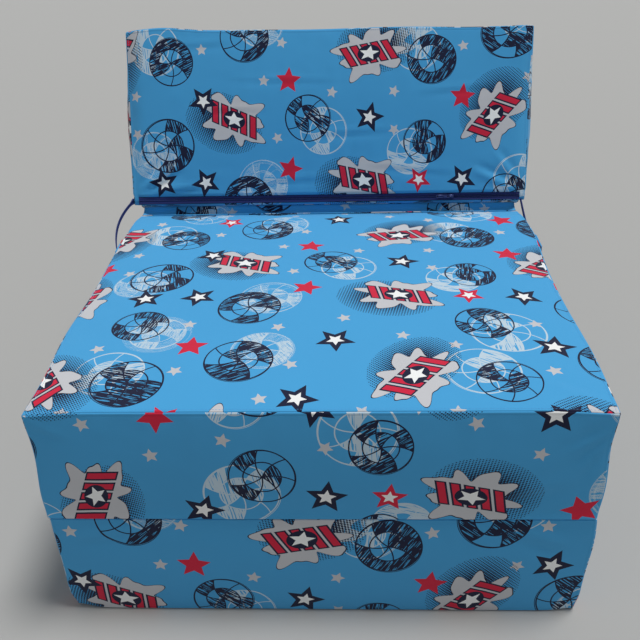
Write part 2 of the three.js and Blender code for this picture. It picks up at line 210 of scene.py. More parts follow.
# %% [markdown]
# ## The cotton print
# The cloth is roller-printed, so its figures come back after each repeat of the roller. Each
# repeat holds stars, pinwheels with a pale echo behind them, and paint splashes with red stripes,
# in navy, red, white and light grey on blue. The figures are drawn by distance sums in the shader
# rather than by an image, so they stay sharp at any size. For each kind of figure the shader finds
# the nearest of its places in the repeat, measures from there, and turns each figure by its own
# random angle. Sizes on the cloth are written in metres, as the cloth map is.

# %% Places of the figures in one repeat
REPEAT = (0.42, 0.38)
PINWHEEL_PLACES = [(0.20, 0.02), (0.33, 0.06), (0.21, 0.28), (0.33, 0.32), (0.20, 0.15),
                   (0.01, 0.19)]
ECHO_PLACES = [(0.225, 0.00), (0.185, 0.30), (0.035, 0.17), (0.355, 0.34), (0.175, 0.135),
               (0.355, 0.085)]
SPLASH_PLACES = [(0.10, 0.09), (0.31, 0.19), (0.11, 0.29)]
STAR_PLACES = [(0.19, 0.09), (0.26, 0.09), (0.40, 0.11), (0.40, 0.25), (0.27, 0.35),
               (0.26, 0.22), (0.02, 0.36), (0.11, 0.19)]
SPECK_PLACES = [(0.03, 0.03), (0.26, 0.02), (0.15, 0.17), (0.38, 0.16), (0.36, 0.25),
                (0.05, 0.23), (0.16, 0.35), (0.39, 0.31), (0.26, 0.30), (0.15, 0.23),
                (0.10, 0.37), (0.37, 0.01)]
ROUNDING = 0.01
FAR = 10

BLUE, BLUE_SHADE = linear("#46A3D9"), linear("#459BD0")
NAVY = linear("#0B1230")
RED = linear("#CF1F3E")
GREY, ECHO_GREY = linear("#C6C6C9"), linear("#BFD2DE")
WHITE = linear("#F4F4F2")


def nearest_place(bench, cloth, places):
    """How the cloth's point lies from the nearest place of a figure, and its random values."""
    best = best_length = None
    for place in places:
        away = bench.vector("SUBTRACT", cloth, (*place, 0))
        away = bench.vector("WRAP", away, (REPEAT[0] / 2, REPEAT[1] / 2, FAR),
                            (-REPEAT[0] / 2, -REPEAT[1] / 2, -FAR))
        length = bench.vector("LENGTH", away, out=1)
        if best is None:
            best, best_length = away, length
            continue
        nearer = bench.sum("LESS_THAN", length, best_length)
        best = bench.add("ShaderNodeMix", out=1, named={0: nearer, 4: best, 5: away},
                         data_type="VECTOR")
        best_length = bench.sum("MINIMUM", length, best_length)
    centre = bench.vector("ADD", bench.vector("SUBTRACT", cloth, best), (ROUNDING / 2,) * 3)
    centre = bench.vector("SNAP", centre, (ROUNDING,) * 3)
    return best, *bench.add("ShaderNodeTexWhiteNoise", centre, out=slice(2))


print("figures in one repeat:", sum(map(len, (
    PINWHEEL_PLACES, ECHO_PLACES, SPLASH_PLACES, STAR_PLACES, SPECK_PLACES))))

# %% [markdown]
# Every figure is read in its own polar form: a length and an angle from its centre, turned by the
# figure's random value. A star's edge is then one straight line that is folded round, and how far
# a point lies outside that line tells the rim from the inside.

# %% Polar form and star
FULL_TURN = 6.283
STAR_POINTS = 5


def polar(bench, away, spin, squeeze=1):
    """Length and angle of a place on a figure, after a random turn."""
    turned = bench.add("ShaderNodeVectorRotate", away, None, None,
                       bench.sum("MULTIPLY", spin, FULL_TURN), rotation_type="Z_AXIS")
    if squeeze != 1:
        turned = bench.vector("MULTIPLY", turned, (1, squeeze, 1))
    x, y, _ = bench.axes(turned)
    return bench.vector("LENGTH", turned, out=1), bench.sum("ARCTAN2", y, x), turned


def star_edge(bench, length, angle, tip, notch):
    """How far a place lies outside a star's edge. It is less than nothing inside."""
    half = math.pi / STAR_POINTS
    folded = bench.sum("ABSOLUTE", bench.sum("WRAP", angle, half, -half))
    along = (notch * math.cos(half) - tip, notch * math.sin(half))
    size = math.hypot(*along)
    normal = (along[1] / size, -along[0] / size)
    across = bench.sum("MULTIPLY", length, bench.sum("COSINE", folded))
    aside = bench.sum("MULTIPLY", length, bench.sum("SINE", folded))
    outside = bench.sum("MULTIPLY", bench.sum("SUBTRACT", across, tip), normal[0])
    return bench.sum("MULTIPLY_ADD", aside, normal[1], outside)


def band(bench, value, low, high):
    """1 where a value lies between two others."""
    return bench.sum("MULTIPLY", bench.sum("GREATER_THAN", value, low),
                     bench.sum("LESS_THAN", value, high))


print("stars have", STAR_POINTS, "points")

# %% [markdown]
# A pinwheel is a circle that curved spokes and an inner ring divide into cells, some of them
# scribbled full of ink, and its echo is the same in pale grey. White noise picks the inked cells,
# and a stretched noise leaves the strokes. The roller prints a little out of line, so a second
# rim lies beside the first.

# %% Pinwheels and echoes
PINWHEEL_RADIUS, INNER_RING = 0.0375, 0.021
PINWHEEL_SCALE = (-0.24, 1.1)
SPOKES, SWIRL = 7, 13
LINE = 0.0016
LOOSE_RIM = (0.0011, -0.0008, 0)
STROKES, INK_SHARE = (700, 45, 0), 0.39
DICE_SPREAD = 50


def scribble(bench, turned):
    """Strokes of ink with gaps between them: 1 on ink."""
    strokes = bench.add("ShaderNodeTexNoise", bench.vector("MULTIPLY", turned, STROKES), None, 1, 0,
                        noise_dimensions="2D")
    return bench.sum("GREATER_THAN", strokes, INK_SHARE)


def draw_pinwheel(bench, cloth, under, places, ink, line, inked):
    """A circle of curved cells. inked is the share of its cells that are scribbled full."""
    away, spin, _ = nearest_place(bench, cloth, places)
    away = bench.vector("SCALE", away, None, None, bench.sum("MULTIPLY_ADD", spin, *PINWHEEL_SCALE))
    length, angle, turned = polar(bench, away, spin)
    swirled = bench.sum("MULTIPLY_ADD", length, SWIRL, angle)
    sector = math.tau / SPOKES
    spoke = bench.sum("ABSOLUTE", bench.sum("WRAP", swirled, sector / 2, -sector / 2))
    spoke = bench.sum("LESS_THAN", bench.sum("MULTIPLY", spoke, length), line / 2)
    outer = bench.sum("GREATER_THAN", length, INNER_RING)
    row = bench.sum("FLOOR", bench.sum("DIVIDE", bench.sum("WRAP", swirled, math.tau, 0), sector))
    cell = bench.add("ShaderNodeCombineXYZ", row, outer, bench.sum("MULTIPLY", spin, DICE_SPREAD))
    dice = bench.add("ShaderNodeTexWhiteNoise", cell)
    filled = bench.sum("MULTIPLY", bench.sum("LESS_THAN", dice, inked), scribble(bench, turned))
    circles = bench.sum("ABSOLUTE", bench.sum("SUBTRACT", length, INNER_RING))
    lines = bench.sum("MAXIMUM", spoke, bench.sum("LESS_THAN", circles, line / 2))
    inside = bench.sum("LESS_THAN", length, PINWHEEL_RADIUS)
    shape = bench.sum("MULTIPLY", bench.sum("MAXIMUM", filled, lines), inside)
    loose = bench.vector("LENGTH", bench.vector("ADD", turned, LOOSE_RIM), out=1)
    rims = bench.sum("MAXIMUM", band(bench, length, PINWHEEL_RADIUS - line, PINWHEEL_RADIUS),
                     band(bench, loose, PINWHEEL_RADIUS - line / 2, PINWHEEL_RADIUS))
    return bench.blend(bench.sum("MAXIMUM", shape, rims), under, ink)


print("pinwheel:", round(PINWHEEL_RADIUS * 2000), "mm across")

# %% [markdown]
# A splash is a round-lobed grey patch with a dark rim, a row of slanted red stripes and a white
# star in a dark eye. A screen of dots shades the blue on one side of it.

# %% Splashes
SPLASH_RADIUS, SPLASH_SQUEEZE = 0.050, 1.4
SPLASH_LOBES = ((9, 0.4, 0.0085), (4, 2.0, 0.0065), (15, 1.1, 0.0036))
DOT_PITCH, DOT_SHIFT = 0.0034, (-0.014, -0.016, 0)
DOT_SIZE, DOT_FADE, DOT_REACH = 0.74, -0.38 / SPLASH_RADIUS, SPLASH_RADIUS * 1.3
STRIPE_PITCH, STRIPE_SHARE, STRIPE_SLANT, STRIPE_HEIGHT = 0.0165, 0.62, 0.28, 0.0235
STRIPE_COUNT, STRIPE_RIM = 5, LINE * 1.5
EYE_RADIUS, EYE_RIM, EYE_WAIST = 0.0145, 0.004, 0.52


def dot_screen(bench, turned):
    """Printer's dots that shrink away from the splash's middle, on one side of it."""
    reach = bench.vector("LENGTH", bench.vector("ADD", turned, DOT_SHIFT), out=1)
    cells = bench.vector("FRACTION", bench.vector("SCALE", turned, None, None, 1 / DOT_PITCH))
    cells = bench.vector("MULTIPLY", bench.vector("SUBTRACT", cells, (0.5, 0.5, 0)), (1, 1, 0))
    size = bench.sum("MULTIPLY_ADD", reach, DOT_FADE, DOT_SIZE)
    dots = bench.sum("LESS_THAN", bench.vector("LENGTH", cells, out=1), size)
    return bench.sum("MULTIPLY", dots, bench.sum("LESS_THAN", reach, DOT_REACH))


def draw_splash(bench, cloth, under):
    away, spin, _ = nearest_place(bench, cloth, SPLASH_PLACES)
    length, angle, turned = polar(bench, away, spin, SPLASH_SQUEEZE)
    paint = bench.blend(dot_screen(bench, turned), under, NAVY)
    lobes = SPLASH_RADIUS
    for count, start, height in SPLASH_LOBES:
        wave = bench.sum("COSINE", bench.sum("MULTIPLY_ADD", angle, count, start))
        lobes = bench.sum("MULTIPLY_ADD", wave, height, lobes)
    edge = bench.sum("SUBTRACT", length, lobes)
    paint = bench.blend(bench.sum("LESS_THAN", edge, 0), paint, NAVY)
    paint = bench.blend(bench.sum("LESS_THAN", edge, -LINE), paint, GREY)
    x, y, _ = bench.axes(turned)
    slanted = bench.sum("MULTIPLY_ADD", y, STRIPE_SLANT, x)
    stripe = bench.sum("ABSOLUTE", bench.sum("WRAP", slanted, STRIPE_PITCH / 2, -STRIPE_PITCH / 2))
    tall, wide = bench.sum("ABSOLUTE", y), bench.sum("ABSOLUTE", slanted)
    for margin, ink in ((0, NAVY), (STRIPE_RIM, RED)):
        half = STRIPE_PITCH * STRIPE_SHARE / 2 + LINE - margin
        across = bench.sum("LESS_THAN", stripe, half)
        within = bench.sum("MULTIPLY", bench.sum("LESS_THAN", tall, STRIPE_HEIGHT - margin),
                           bench.sum("LESS_THAN", wide, STRIPE_PITCH * STRIPE_COUNT / 2))
        paint = bench.blend(bench.sum("MULTIPLY", across, within), paint, ink)
    paint = bench.blend(bench.sum("LESS_THAN", length, EYE_RADIUS + EYE_RIM), paint, NAVY)
    star = star_edge(bench, length, angle, EYE_RADIUS + EYE_RIM / 2, EYE_RADIUS * EYE_WAIST)
    return bench.blend(bench.sum("LESS_THAN", star, 0), paint, WHITE)


print("splash:", round(SPLASH_RADIUS * 2000), "mm across")

# %% [markdown]
# The stars come in three colourings, picked by each star's random value: navy with a white heart,
# red with a white heart, and plain red. Small pale stars fill the gaps.

# %% Stars
STAR_TIP, STAR_WAIST, STAR_HEART = 0.0225, 0.46, 0.0048
SPECK_TIP, SPECK_WAIST = 0.0095, 0.48
NAVY_UP_TO, PLAIN_FROM = 0.42, 0.7
NAVY_SCALE = (-0.16, 1.06)


def draw_stars(bench, cloth, under):
    away, spin, choice = nearest_place(bench, cloth, STAR_PLACES)
    length, angle, _ = polar(bench, away, spin)
    pick = bench.add("ShaderNodeSeparateColor", choice)
    navy = bench.sum("LESS_THAN", pick, NAVY_UP_TO)
    plain = bench.sum("GREATER_THAN", pick, PLAIN_FROM)
    length = bench.sum("MULTIPLY", length, bench.sum("MULTIPLY_ADD", navy, *NAVY_SCALE))
    edge = star_edge(bench, length, angle, STAR_TIP, STAR_TIP * STAR_WAIST)
    paint = bench.blend(bench.sum("LESS_THAN", edge, 0), under, bench.blend(navy, RED, NAVY))
    heart = bench.sum("LESS_THAN", edge, -STAR_HEART)
    heart = bench.sum("MULTIPLY", heart, bench.sum("SUBTRACT", 1, plain))
    return bench.blend(heart, paint, WHITE)


def draw_specks(bench, cloth, under):
    away, spin, _ = nearest_place(bench, cloth, SPECK_PLACES)
    length, angle, _ = polar(bench, away, spin)
    edge = star_edge(bench, length, angle, SPECK_TIP, SPECK_TIP * SPECK_WAIST)
    return bench.blend(bench.sum("LESS_THAN", edge, 0), under, GREY)


print("stars:", round(STAR_TIP * 2000), "and", round(SPECK_TIP * 2000), "mm across")

# %% [markdown]
# Printed figures sit in one group, which any cotton piece can use. The cloth itself is a plain
# weave: two sets of ribs that cross, fine enough to show only close up, with a slow change in
# tone where the dye took a little more or less. Sheen gives the soft bloom of cotton at the edges.

# %% Printed cotton
THREAD_PITCH = 0.00055
UV_NAME = "cloth"
DYE_PATCHES, DYE_SHARE = (9, 3, 0.5), 0.5
ECHO_LINE, ECHO_INKED, INKED = LINE * 0.8, 0.42, 0.45
WEAVE_STRENGTH, WEAVE_DEPTH = 0.25, 0.1


def fill_print_group(tree):
    bench = Bench(tree)
    cloth = tree.nodes.new("NodeGroupInput").outputs[0]
    tone = bench.add("ShaderNodeTexNoise", cloth, None, *DYE_PATCHES)
    paint = bench.blend(bench.sum("MULTIPLY_ADD", tone, DYE_SHARE, 0), BLUE, BLUE_SHADE)
    paint = draw_pinwheel(bench, cloth, paint, ECHO_PLACES, ECHO_GREY, ECHO_LINE, ECHO_INKED)
    paint = draw_specks(bench, cloth, paint)
    paint = draw_pinwheel(bench, cloth, paint, PINWHEEL_PLACES, NAVY, LINE, INKED)
    paint = draw_splash(bench, cloth, paint)
    paint = draw_stars(bench, cloth, paint)
    ribs = [bench.sum("SINE", bench.sum("MULTIPLY", axis, math.tau / THREAD_PITCH))
            for axis in bench.axes(cloth)[:2]]
    bench.add("NodeGroupOutput", paint, bench.sum("MULTIPLY", *ribs))


print_group = bpy.data.node_groups.new("cotton_print", "ShaderNodeTree")
for name, way, kind in (("Cloth", "INPUT", "Vector"), ("Colour", "OUTPUT", "Color"),
                        ("Height", "OUTPUT", "Float")):
    print_group.interface.new_socket(name, in_out=way, socket_type="NodeSocket" + kind)
fill_print_group(print_group)

printed_cotton, bench, shader = new_material("printed_cotton")
uv = bench.add("ShaderNodeUVMap", uv_map=UV_NAME)
colour, weave = bench.add("ShaderNodeGroup", uv, out=slice(2), node_tree=print_group)
bench.feed(shader, {"Base Color": colour, "Roughness": 0.86, "Sheen Weight": 0.12,
                    "Sheen Roughness": 0.5, "Specular IOR Level": 0.25,
                    "Normal": bench.bump(weave, WEAVE_STRENGTH, WEAVE_DEPTH)})
print("print nodes:", len(print_group.nodes))

# %% [markdown]
# ## The shape of a block
# A foam block in a sewn cover isn't a box: its edges are soft, its faces swell between the seams
# and its flanks draw in between the corners. It could be sculpted by hand, but three blocks share
# one rule, so the shape is written once. Each of the six panels is a fine grid laid on a box, and
# every grid point is rounded, swollen and then pulled by the seams. The panels meet at the seams,
# so the print can change direction there as cut cloth does. The table gives each block its size
# and place, how far each face swells, the face and height of its zip, and how each panel was laid
# on the cloth before it was cut: its shift in metres and its quarter turns.

# %% Sizes of the blocks
WIDTH, DEPTH, THICK = 620, 560, 150
STACK_GAP = 0.6
BACK_WIDTH, BACK_THICK, BACK_HEIGHT = 646, 150, 282
REAR_AXIS = (0, 283, 301.6)
BACK_LEAN = math.radians(21)
EDGE_RADIUS = 2.6
DRAW_IN = {"base": 2.5, "seat": 0, "back": 2.5}
BACK_CLEAR = (1, 3)
PANELS = {"left": (0, -1), "right": (0, 1), "front": (1, -1), "rear": (1, 1), "under": (2, -1),
          "top": (2, 1)}

leaning = Matrix.Translation(REAR_AXIS) @ Matrix.Rotation(-BACK_LEAN, 4, "X")
BLOCKS = {
    "base": {
        "size": (WIDTH, DEPTH, THICK),
        "place": Matrix.Translation((0, 0, THICK / 2)),
        "swell": {"left": 10, "right": 11, "front": 2.5, "rear": 3, "top": 0, "under": 0},
        "zip": ("rear", 40),
        "map": {"top": (0.05, 0.02, 0), "under": (0.1, 0.1, 0), "front": (0.13, 0.245, 0),
                "rear": (0.03, 0.3, 2), "left": (0.21, 0.08, 1), "right": (0.32, 0.19, 3)},
    },
    "seat": {
        "size": (WIDTH, DEPTH, THICK),
        "place": Matrix.Translation((0, 0, THICK + STACK_GAP + THICK / 2)),
        "swell": {"left": 10, "right": 12, "front": 3.5, "rear": 1, "top": 8, "under": 0},
        "zip": ("rear", 40),
        "map": {"top": (0.0, 0.13, 0), "under": (0.21, 0.13, 2), "front": (0.27, 0.05, 2),
                "rear": (0.15, 0.2, 0), "left": (0.11, 0.3, 3), "right": (0.05, 0.11, 1)},
    },
    "back": {
        "size": (BACK_WIDTH, BACK_THICK, BACK_HEIGHT),
        "place": leaning @ Matrix.Translation((0, BACK_CLEAR[0] + BACK_THICK / 2,
                                               BACK_CLEAR[1] + BACK_HEIGHT / 2)),
        "swell": {"left": 9, "right": 11, "front": 6, "rear": 6, "top": 3, "under": 0},
        "zip": ("front", 13),
        "map": {"top": (0.3, 0.2, 0), "under": (0.1, 0.05, 0), "front": (0.04, 0.19, 0),
                "rear": (0.22, 0.07, 2), "left": (0.3, 0.12, 1), "right": (0.17, 0.33, 3)},
    },
}

# %% [markdown]
# The grid lines crowd together near the edges and at the zip's opening, where the surface turns
# most, and stand 5 mm apart elsewhere.

# %% Grid lines and points of a panel
EDGE_ROWS = (0, 0.5, 1.1, 1.8, 2.8, 4, 5.5, 7.2, 9.5)
GRID_STEP = 5
ROW_CLEAR = 0.8
ZIP_WINDOW = 12
ZIP_END_MARGIN = 9
LIP = 0.5
SWELL_POWER = 0.8


def grid_lines(length, extra=()):
    """Places of the grid lines along one side, from its middle."""
    inner = length - 2 * EDGE_ROWS[-1]
    count = round(inner / GRID_STEP)
    lines = [EDGE_ROWS[-1] + inner * i / count for i in range(1, count)]
    lines += [*EDGE_ROWS, *(length - row for row in EDGE_ROWS)]
    for mark in extra:
        lines = [line for line in lines if abs(line - mark) > ROW_CLEAR or line in (0, length)]
    return np.array(sorted(lines + list(extra))) - length / 2


def panel_points(size, panel, lines):
    """Points of one panel of the plain box, from its middle, where the lines of its axes cross."""
    axis, sign = PANELS[panel]
    first, second = (axis + 1) % 3, (axis + 2) % 3
    points = np.zeros((len(lines[first]), len(lines[second]), 3))
    points[..., axis] = sign * size[axis] / 2
    points[..., first] = lines[first][:, None]
    points[..., second] = lines[second][None, :]
    return points


def panel_quads(panel, ids):
    """Faces over a panel's grid of point numbers, turned outwards."""
    quads = np.stack([ids[:-1, :-1], ids[1:, :-1], ids[1:, 1:], ids[:-1, 1:]], -1).reshape(-1, 4)
    return quads if PANELS[panel][1] > 0 else quads[:, ::-1]


def rounded(points, size, radius):
    """The plain box with its edges rounded, and the way out of it at each point."""
    half = np.array(size) / 2
    core = np.clip(points, radius - half, half - radius)
    out = points - core
    out /= np.linalg.norm(out, axis=-1, keepdims=True)
    return core + out * radius, out


def soften(points, size, swell, panel, draw_in):
    """Rounds the edges of the box, swells the panel and draws the flanks in."""
    axis, sign = PANELS[panel]
    placed, out = rounded(points, size, EDGE_RADIUS)
    share = points / (np.array(size) / 2)
    along = 2 if size[1] < size[2] else 1
    swollen = np.ones(points.shape[:2])
    for other in {0, 1, 2} - {axis}:
        swollen *= np.cos(np.pi / 2 * share[..., other]) ** SWELL_POWER
    placed[..., axis] += sign * swell[panel] * swollen
    placed[..., 0] -= share[..., 0] * draw_in * np.cos(np.pi / 2 * share[..., along])
    return placed, out


print("seat top grid:", len(grid_lines(WIDTH)), "by", len(grid_lines(DEPTH)))

# %% [markdown]
# ## How the cover really lies
# A rule alone gives a surface that is too perfect. A cover is cut a little larger than its foam,
# so it bellies out between the seams and slackens near the corners. A cloth simulation gives that:
# a coarse copy of the block, slightly smaller, is blown up by a gentle pressure with no gravity
# while its seams hold it. The way each point moved is kept, capped, and laid on the fine grid.
# The coarse copy keeps the panels' own grid, so the seams stay where they are sewn.

# %% Cloth simulation of a cover
CLOTH_STEP = 13
CLOTH_INSET = 2
CLOTH_UNEVEN = 0.35
CLOTH_FRAMES = 20
CLOTH_CAP = 12
CLOTH_SETTINGS = {
    "quality": 6, "mass": 0.3, "tension_stiffness": 20, "compression_stiffness": 20,
    "shear_stiffness": 8, "bending_stiffness": 0.4, "shrink_min": -0.004, "use_pressure": True,
    "uniform_pressure_force": 4, "vertex_group_mass": "seams",
}
ON_EDGE = 0.01


def coarse_box(size):
    """A coarse box with one grid for each panel, its points shared at the seams."""
    lines = [np.linspace(-s / 2, s / 2, round(s / CLOTH_STEP) + 1) for s in size]
    index, places, faces, grids = {}, [], [], {}
    for panel in PANELS:
        points = panel_points(size, panel, lines)
        ids = np.zeros(points.shape[:2], int)
        for i, j in np.ndindex(ids.shape):
            key = tuple(np.round(points[i, j], 3))
            if key not in index:
                index[key] = len(places)
                places.append(points[i, j])
            ids[i, j] = index[key]
        grids[panel] = ids
        faces += panel_quads(panel, ids).tolist()
    return np.array(places), faces, grids, lines


def belly(name, size, seed):
    """How each coarse point moves when the cover is filled, in millimetres, with its grids."""
    places, faces, grids, lines = coarse_box(size)
    half = np.array(size) / 2
    start = places * (1 - CLOTH_INSET / half)
    start += np.random.default_rng(seed).normal(0, CLOTH_UNEVEN, start.shape)
    mesh = bpy.data.meshes.new(name)
    mesh.from_pydata((start * MM).tolist(), [], faces)
    cover = new_object(name, mesh)
    held = np.flatnonzero((np.abs(np.abs(places) - half) < ON_EDGE).sum(1) >= 2)
    cover.vertex_groups.new(name="seams").add(held.tolist(), 1, "REPLACE")
    cloth = cover.modifiers.new("filling", "CLOTH")
    for key, value in CLOTH_SETTINGS.items():
        setattr(cloth.settings, key, value)
    cloth.settings.effector_weights.gravity = 0
    cloth.point_cache.frame_start, cloth.point_cache.frame_end = 1, CLOTH_FRAMES
    for step in range(1, CLOTH_FRAMES + 1):
        scene.frame_set(step)
    settled = cover.evaluated_get(bpy.context.evaluated_depsgraph_get())
    ends = np.zeros(len(places) * 3)
    settled.data.vertices.foreach_get("co", ends)
    moved = ends.reshape(-1, 3) / MM - start
    far = np.linalg.norm(moved, axis=1, keepdims=True)
    moved *= np.minimum(1, CLOTH_CAP / np.maximum(far, 1e-6))
    bpy.data.objects.remove(cover)
    scene.frame_set(1)
    print(name, "moved up to", round(float(far.max()), 1), "mm before the cap of", CLOTH_CAP)
    return moved, grids, lines


print("cloth grid:", CLOTH_STEP, "mm")

# %% [markdown]
# The coarse movement is carried to the fine grid along a smooth curve through the coarse points.

# %% From the coarse grid to the fine one


def smooth_weights(coarse, fine):
    """Weights that carry values at coarse lines to fine ones along a smooth curve."""
    step = coarse[1] - coarse[0]
    weights = np.zeros((len(fine), len(coarse)))
    for row, place in enumerate(fine):
        t = (place - coarse[0]) / step
        i = min(max(int(math.floor(t)), 0), len(coarse) - 2)
        f = t - i
        curve = (-f + 2 * f**2 - f**3, 2 - 5 * f**2 + 3 * f**3,
                 f + 4 * f**2 - 3 * f**3, f**3 - f**2)
        for offset, value in zip((-1, 0, 1, 2), curve):
            weights[row, min(max(i + offset, 0), len(coarse) - 1)] += value / 2
    return weights


def carried(moved, ids, axis, coarse, fine):
    """The coarse movement at the fine grid's points, on the panel across one axis."""
    first, second = (smooth_weights(coarse[side % 3], fine[side % 3])
                     for side in (axis + 1, axis + 2))
    return np.einsum("ij,jkc,lk->ilc", first, moved[ids], second)


print("smooth carry ready")

# %% [markdown]
# ## Seams, folds and the zip's opening
# A boxed seam pulls the cloth in along a fine line, and the seam allowance inside lifts a low
# ridge beside it. Where a zip is sewn in, the cover opens: its lips turn in and leave a channel
# for the tapes. Long shallow folds run from the corners that pull, where the photograph shows them.
# Each fold is written as the two places on its panel that it joins, its width and its depth.

# %% Seam profile, zip channel and folds
SEAM_DEPTH, SEAM_WIDTH = 0.5, 0.5
RIDGE_HEIGHT, RIDGE_PLACE, RIDGE_WIDTH = 0.2, 2.4, 1.4
STITCH_ROW, STITCH_DENT, STITCH_WIDTH = 4, 0.25, 0.6
CHANNEL_DEPTH = 6
CLOTH_SHARE = 0.3
FOLD_END, FOLD_LIFT = 0.02, 1.2
FOLDS = {
    ("back", "front"): [
        ((-316, 24), (-236, 66), 7, 3.4), ((-314, 32), (-272, 96), 6, 2.6),
        ((-306, 22), (-200, 34), 6, 2.4), ((318, 24), (236, 62), 7, 3.0),
        ((318, 30), (272, 92), 6, 2.2), ((-230, 158), (-90, 154), 5, 1.2),
        ((-60, 112), (130, 121), 6, 1.1), ((-170, 204), (40, 197), 5, 0.9),
        ((-280, 252), (-140, 262), 6, 1.0), ((60, 66), (210, 50), 6, 1.1),
        ((140, 176), (290, 188), 6, 1.0), ((-120, 40), (20, 46), 6, 1.0),
    ],
    ("seat", "right"): [
        ((-270, 120), (-190, 30), 12, 3.2), ((-200, 110), (-130, 40), 14, 2.4),
        ((-240, 60), (-90, 20), 10, 1.8),
    ],
    ("base", "right"): [
        ((-262, 130), (-215, 40), 12, 2.6), ((-180, 120), (-120, 30), 14, 2.0),
    ],
    ("seat", "left"): [
        ((-262, 110), (-200, 36), 12, 2.4), ((-150, 100), (-60, 60), 14, 1.6),
    ],
    ("base", "left"): [((-250, 120), (-190, 40), 12, 2.2)],
    ("seat", "front"): [
        ((-280, 60), (-180, 20), 14, 1.0), ((170, 24), (286, 52), 12, 1.2),
        ((306, 132), (262, 96), 6, 1.6), ((306, 118), (276, 70), 5, 1.5),
        ((304, 96), (284, 40), 5, 1.2), ((-304, 136), (-270, 112), 5, 0.9),
    ],
    ("seat", "top"): [((306, -262), (250, -226), 8, 0.9), ((-306, -262), (-262, -236), 8, 0.8)],
    ("base", "front"): [((-290, 110), (-200, 134), 12, 1.0), ((210, 132), (296, 100), 12, 1.2)],
}


def seam_profile(away):
    """How far the surface stands proud at a distance from a seam."""
    return (RIDGE_HEIGHT * np.exp(-((away - RIDGE_PLACE) / RIDGE_WIDTH) ** 2)
            - SEAM_DEPTH * np.exp(-((away / SEAM_WIDTH) ** 2))
            - STITCH_DENT * np.exp(-(((away - STITCH_ROW) / STITCH_WIDTH) ** 2)))


def fold_height(folds, across, height):
    """Depth of the folds at each point of an upright panel."""
    total = np.zeros(across.shape)
    for (x0, z0), (x1, z1), width, depth in folds:
        run = np.array((x1 - x0, z1 - z0), float)
        reach = np.hypot(*run)
        run /= reach
        along = (across - x0) * run[0] + (height - z0) * run[1]
        aside = (-(across - x0) * run[1] + (height - z0) * run[0]) / width
        fade = np.sin(np.pi * np.clip(along / reach, FOLD_END, 1 - FOLD_END))
        fade *= (along > 0) & (along < reach)
        total += depth * fade * aside * np.exp(0.5 - aside**2) * FOLD_LIFT
    return total


print("folds:", sum(len(rows) for rows in FOLDS.values()))

# %% [markdown]
# A cover is also pulled about at its corners. The back's lower corners are tucked in under the
# zip's ends, the strip of cloth under the zip turns under, and the left edge rolls back. The
# seat's front corners stand out a little, where the foam is stiffest. Each pull moves the places
# round one spot and dies away with distance, so it works across the seams. It is written as the
# spot, measured from the block's middle, how far the spot moves, and how far the pull reaches along
# each axis. A zip's tapes are too stiff to be pulled along or up, so they only move in and out with
# the cover.

# %% Pulls at the corners
STIFF_BAND, STIFF_FADE, STIFF_REACH = 7, 5, 20
PULLS = {
    "back": [
        ((0, -75, -141), (0, 13, 2.5), (9999, 14, 5)),
        ((0, -75, -60), (0, 2, 0), (240, 40, 70)),
        ((-323, -75, -141), (15, 3, 4), (40, 40, 9.5)),
        ((323, -75, -141), (-13, 3, 4), (40, 40, 9.5)),
        ((-323, -75, 25), (0, 9, 0), (13, 34, 150)),
        ((323, -75, 25), (2, 5, 0), (9, 34, 150)),
        ((-323, -40, 0), (-7, 0, 0), (34, 44, 110)),
        ((323, -40, 15), (6, 0, 0), (34, 44, 120)),
        ((323, -40, 141), (7, 0, 0), (40, 90, 70)),
        ((-265, 0, 141), (0, 0, 7.5), (52, 150, 36)),
        ((-10, 0, 141), (0, 0, -2.5), (90, 150, 36)),
        ((250, 0, 141), (0, 0, -4.5), (100, 150, 36)),
    ],
    "seat": [
        ((0, -280, -75), (0, -2, -0.5), (9999, 12, 8)),
        ((0, 280, 75), (0, -3, -6), (9999, 26, 24)),
        ((0, 170, 75), (0, 0, -4.5), (240, 90, 40)),
        ((-310, -115, 75), (-5, 0, 0), (60, 75, 60)),
        ((-310, 150, 75), (-3.5, 0, 0), (60, 110, 60)),
        ((310, -190, 75), (7.5, 0, 0), (60, 110, 60)),
        ((310, 170, 75), (7, 0, 0), (60, 80, 60)),
        ((-310, -280, 75), (-3, -2, -2), (36, 36, 34)),
        ((310, -280, 75), (3, -2, -2), (36, 36, 34)),
        ((-310, -250, -45), (-6, 0, 0), (30, 60, 42)),
        ((310, -250, -30), (8, 0, 0), (30, 60, 50)),
    ],
    "base": [
        ((0, -280, 75), (0, -0.6, 0.5), (9999, 12, 8)),
        ((-310, -280, -75), (4, 4, 3), (26, 26, 18)),
        ((310, -280, -75), (-3, 3, 1.5), (26, 26, 18)),
        ((-310, -250, 60), (-2, 0, 0), (30, 60, 40)),
        ((310, -250, 45), (7, 0, 0), (30, 60, 50)),
    ],
}


def pulled(block, box):
    """How far the pulls move each place of the plain box."""
    total = np.zeros_like(box)
    for spot, move, reach in PULLS[block]:
        near = np.exp(-(((box - spot) / reach) ** 2).sum(-1))
        total += near[..., None] * np.array(move, float)
    size = BLOCKS[block]["size"]
    panel, height = BLOCKS[block]["zip"]
    off_zip = np.clip((np.abs(box[..., 2] + size[2] / 2 - height) - STIFF_BAND) / STIFF_FADE, 0, 1)
    at_zip = np.exp(-(((box[..., 1] - PANELS[panel][1] * size[1] / 2) / STIFF_REACH) ** 2))
    total[..., ::2] *= (1 - at_zip * (1 - off_zip))[..., None]
    return total


print("pulls:", sum(len(rows) for rows in PULLS.values()))

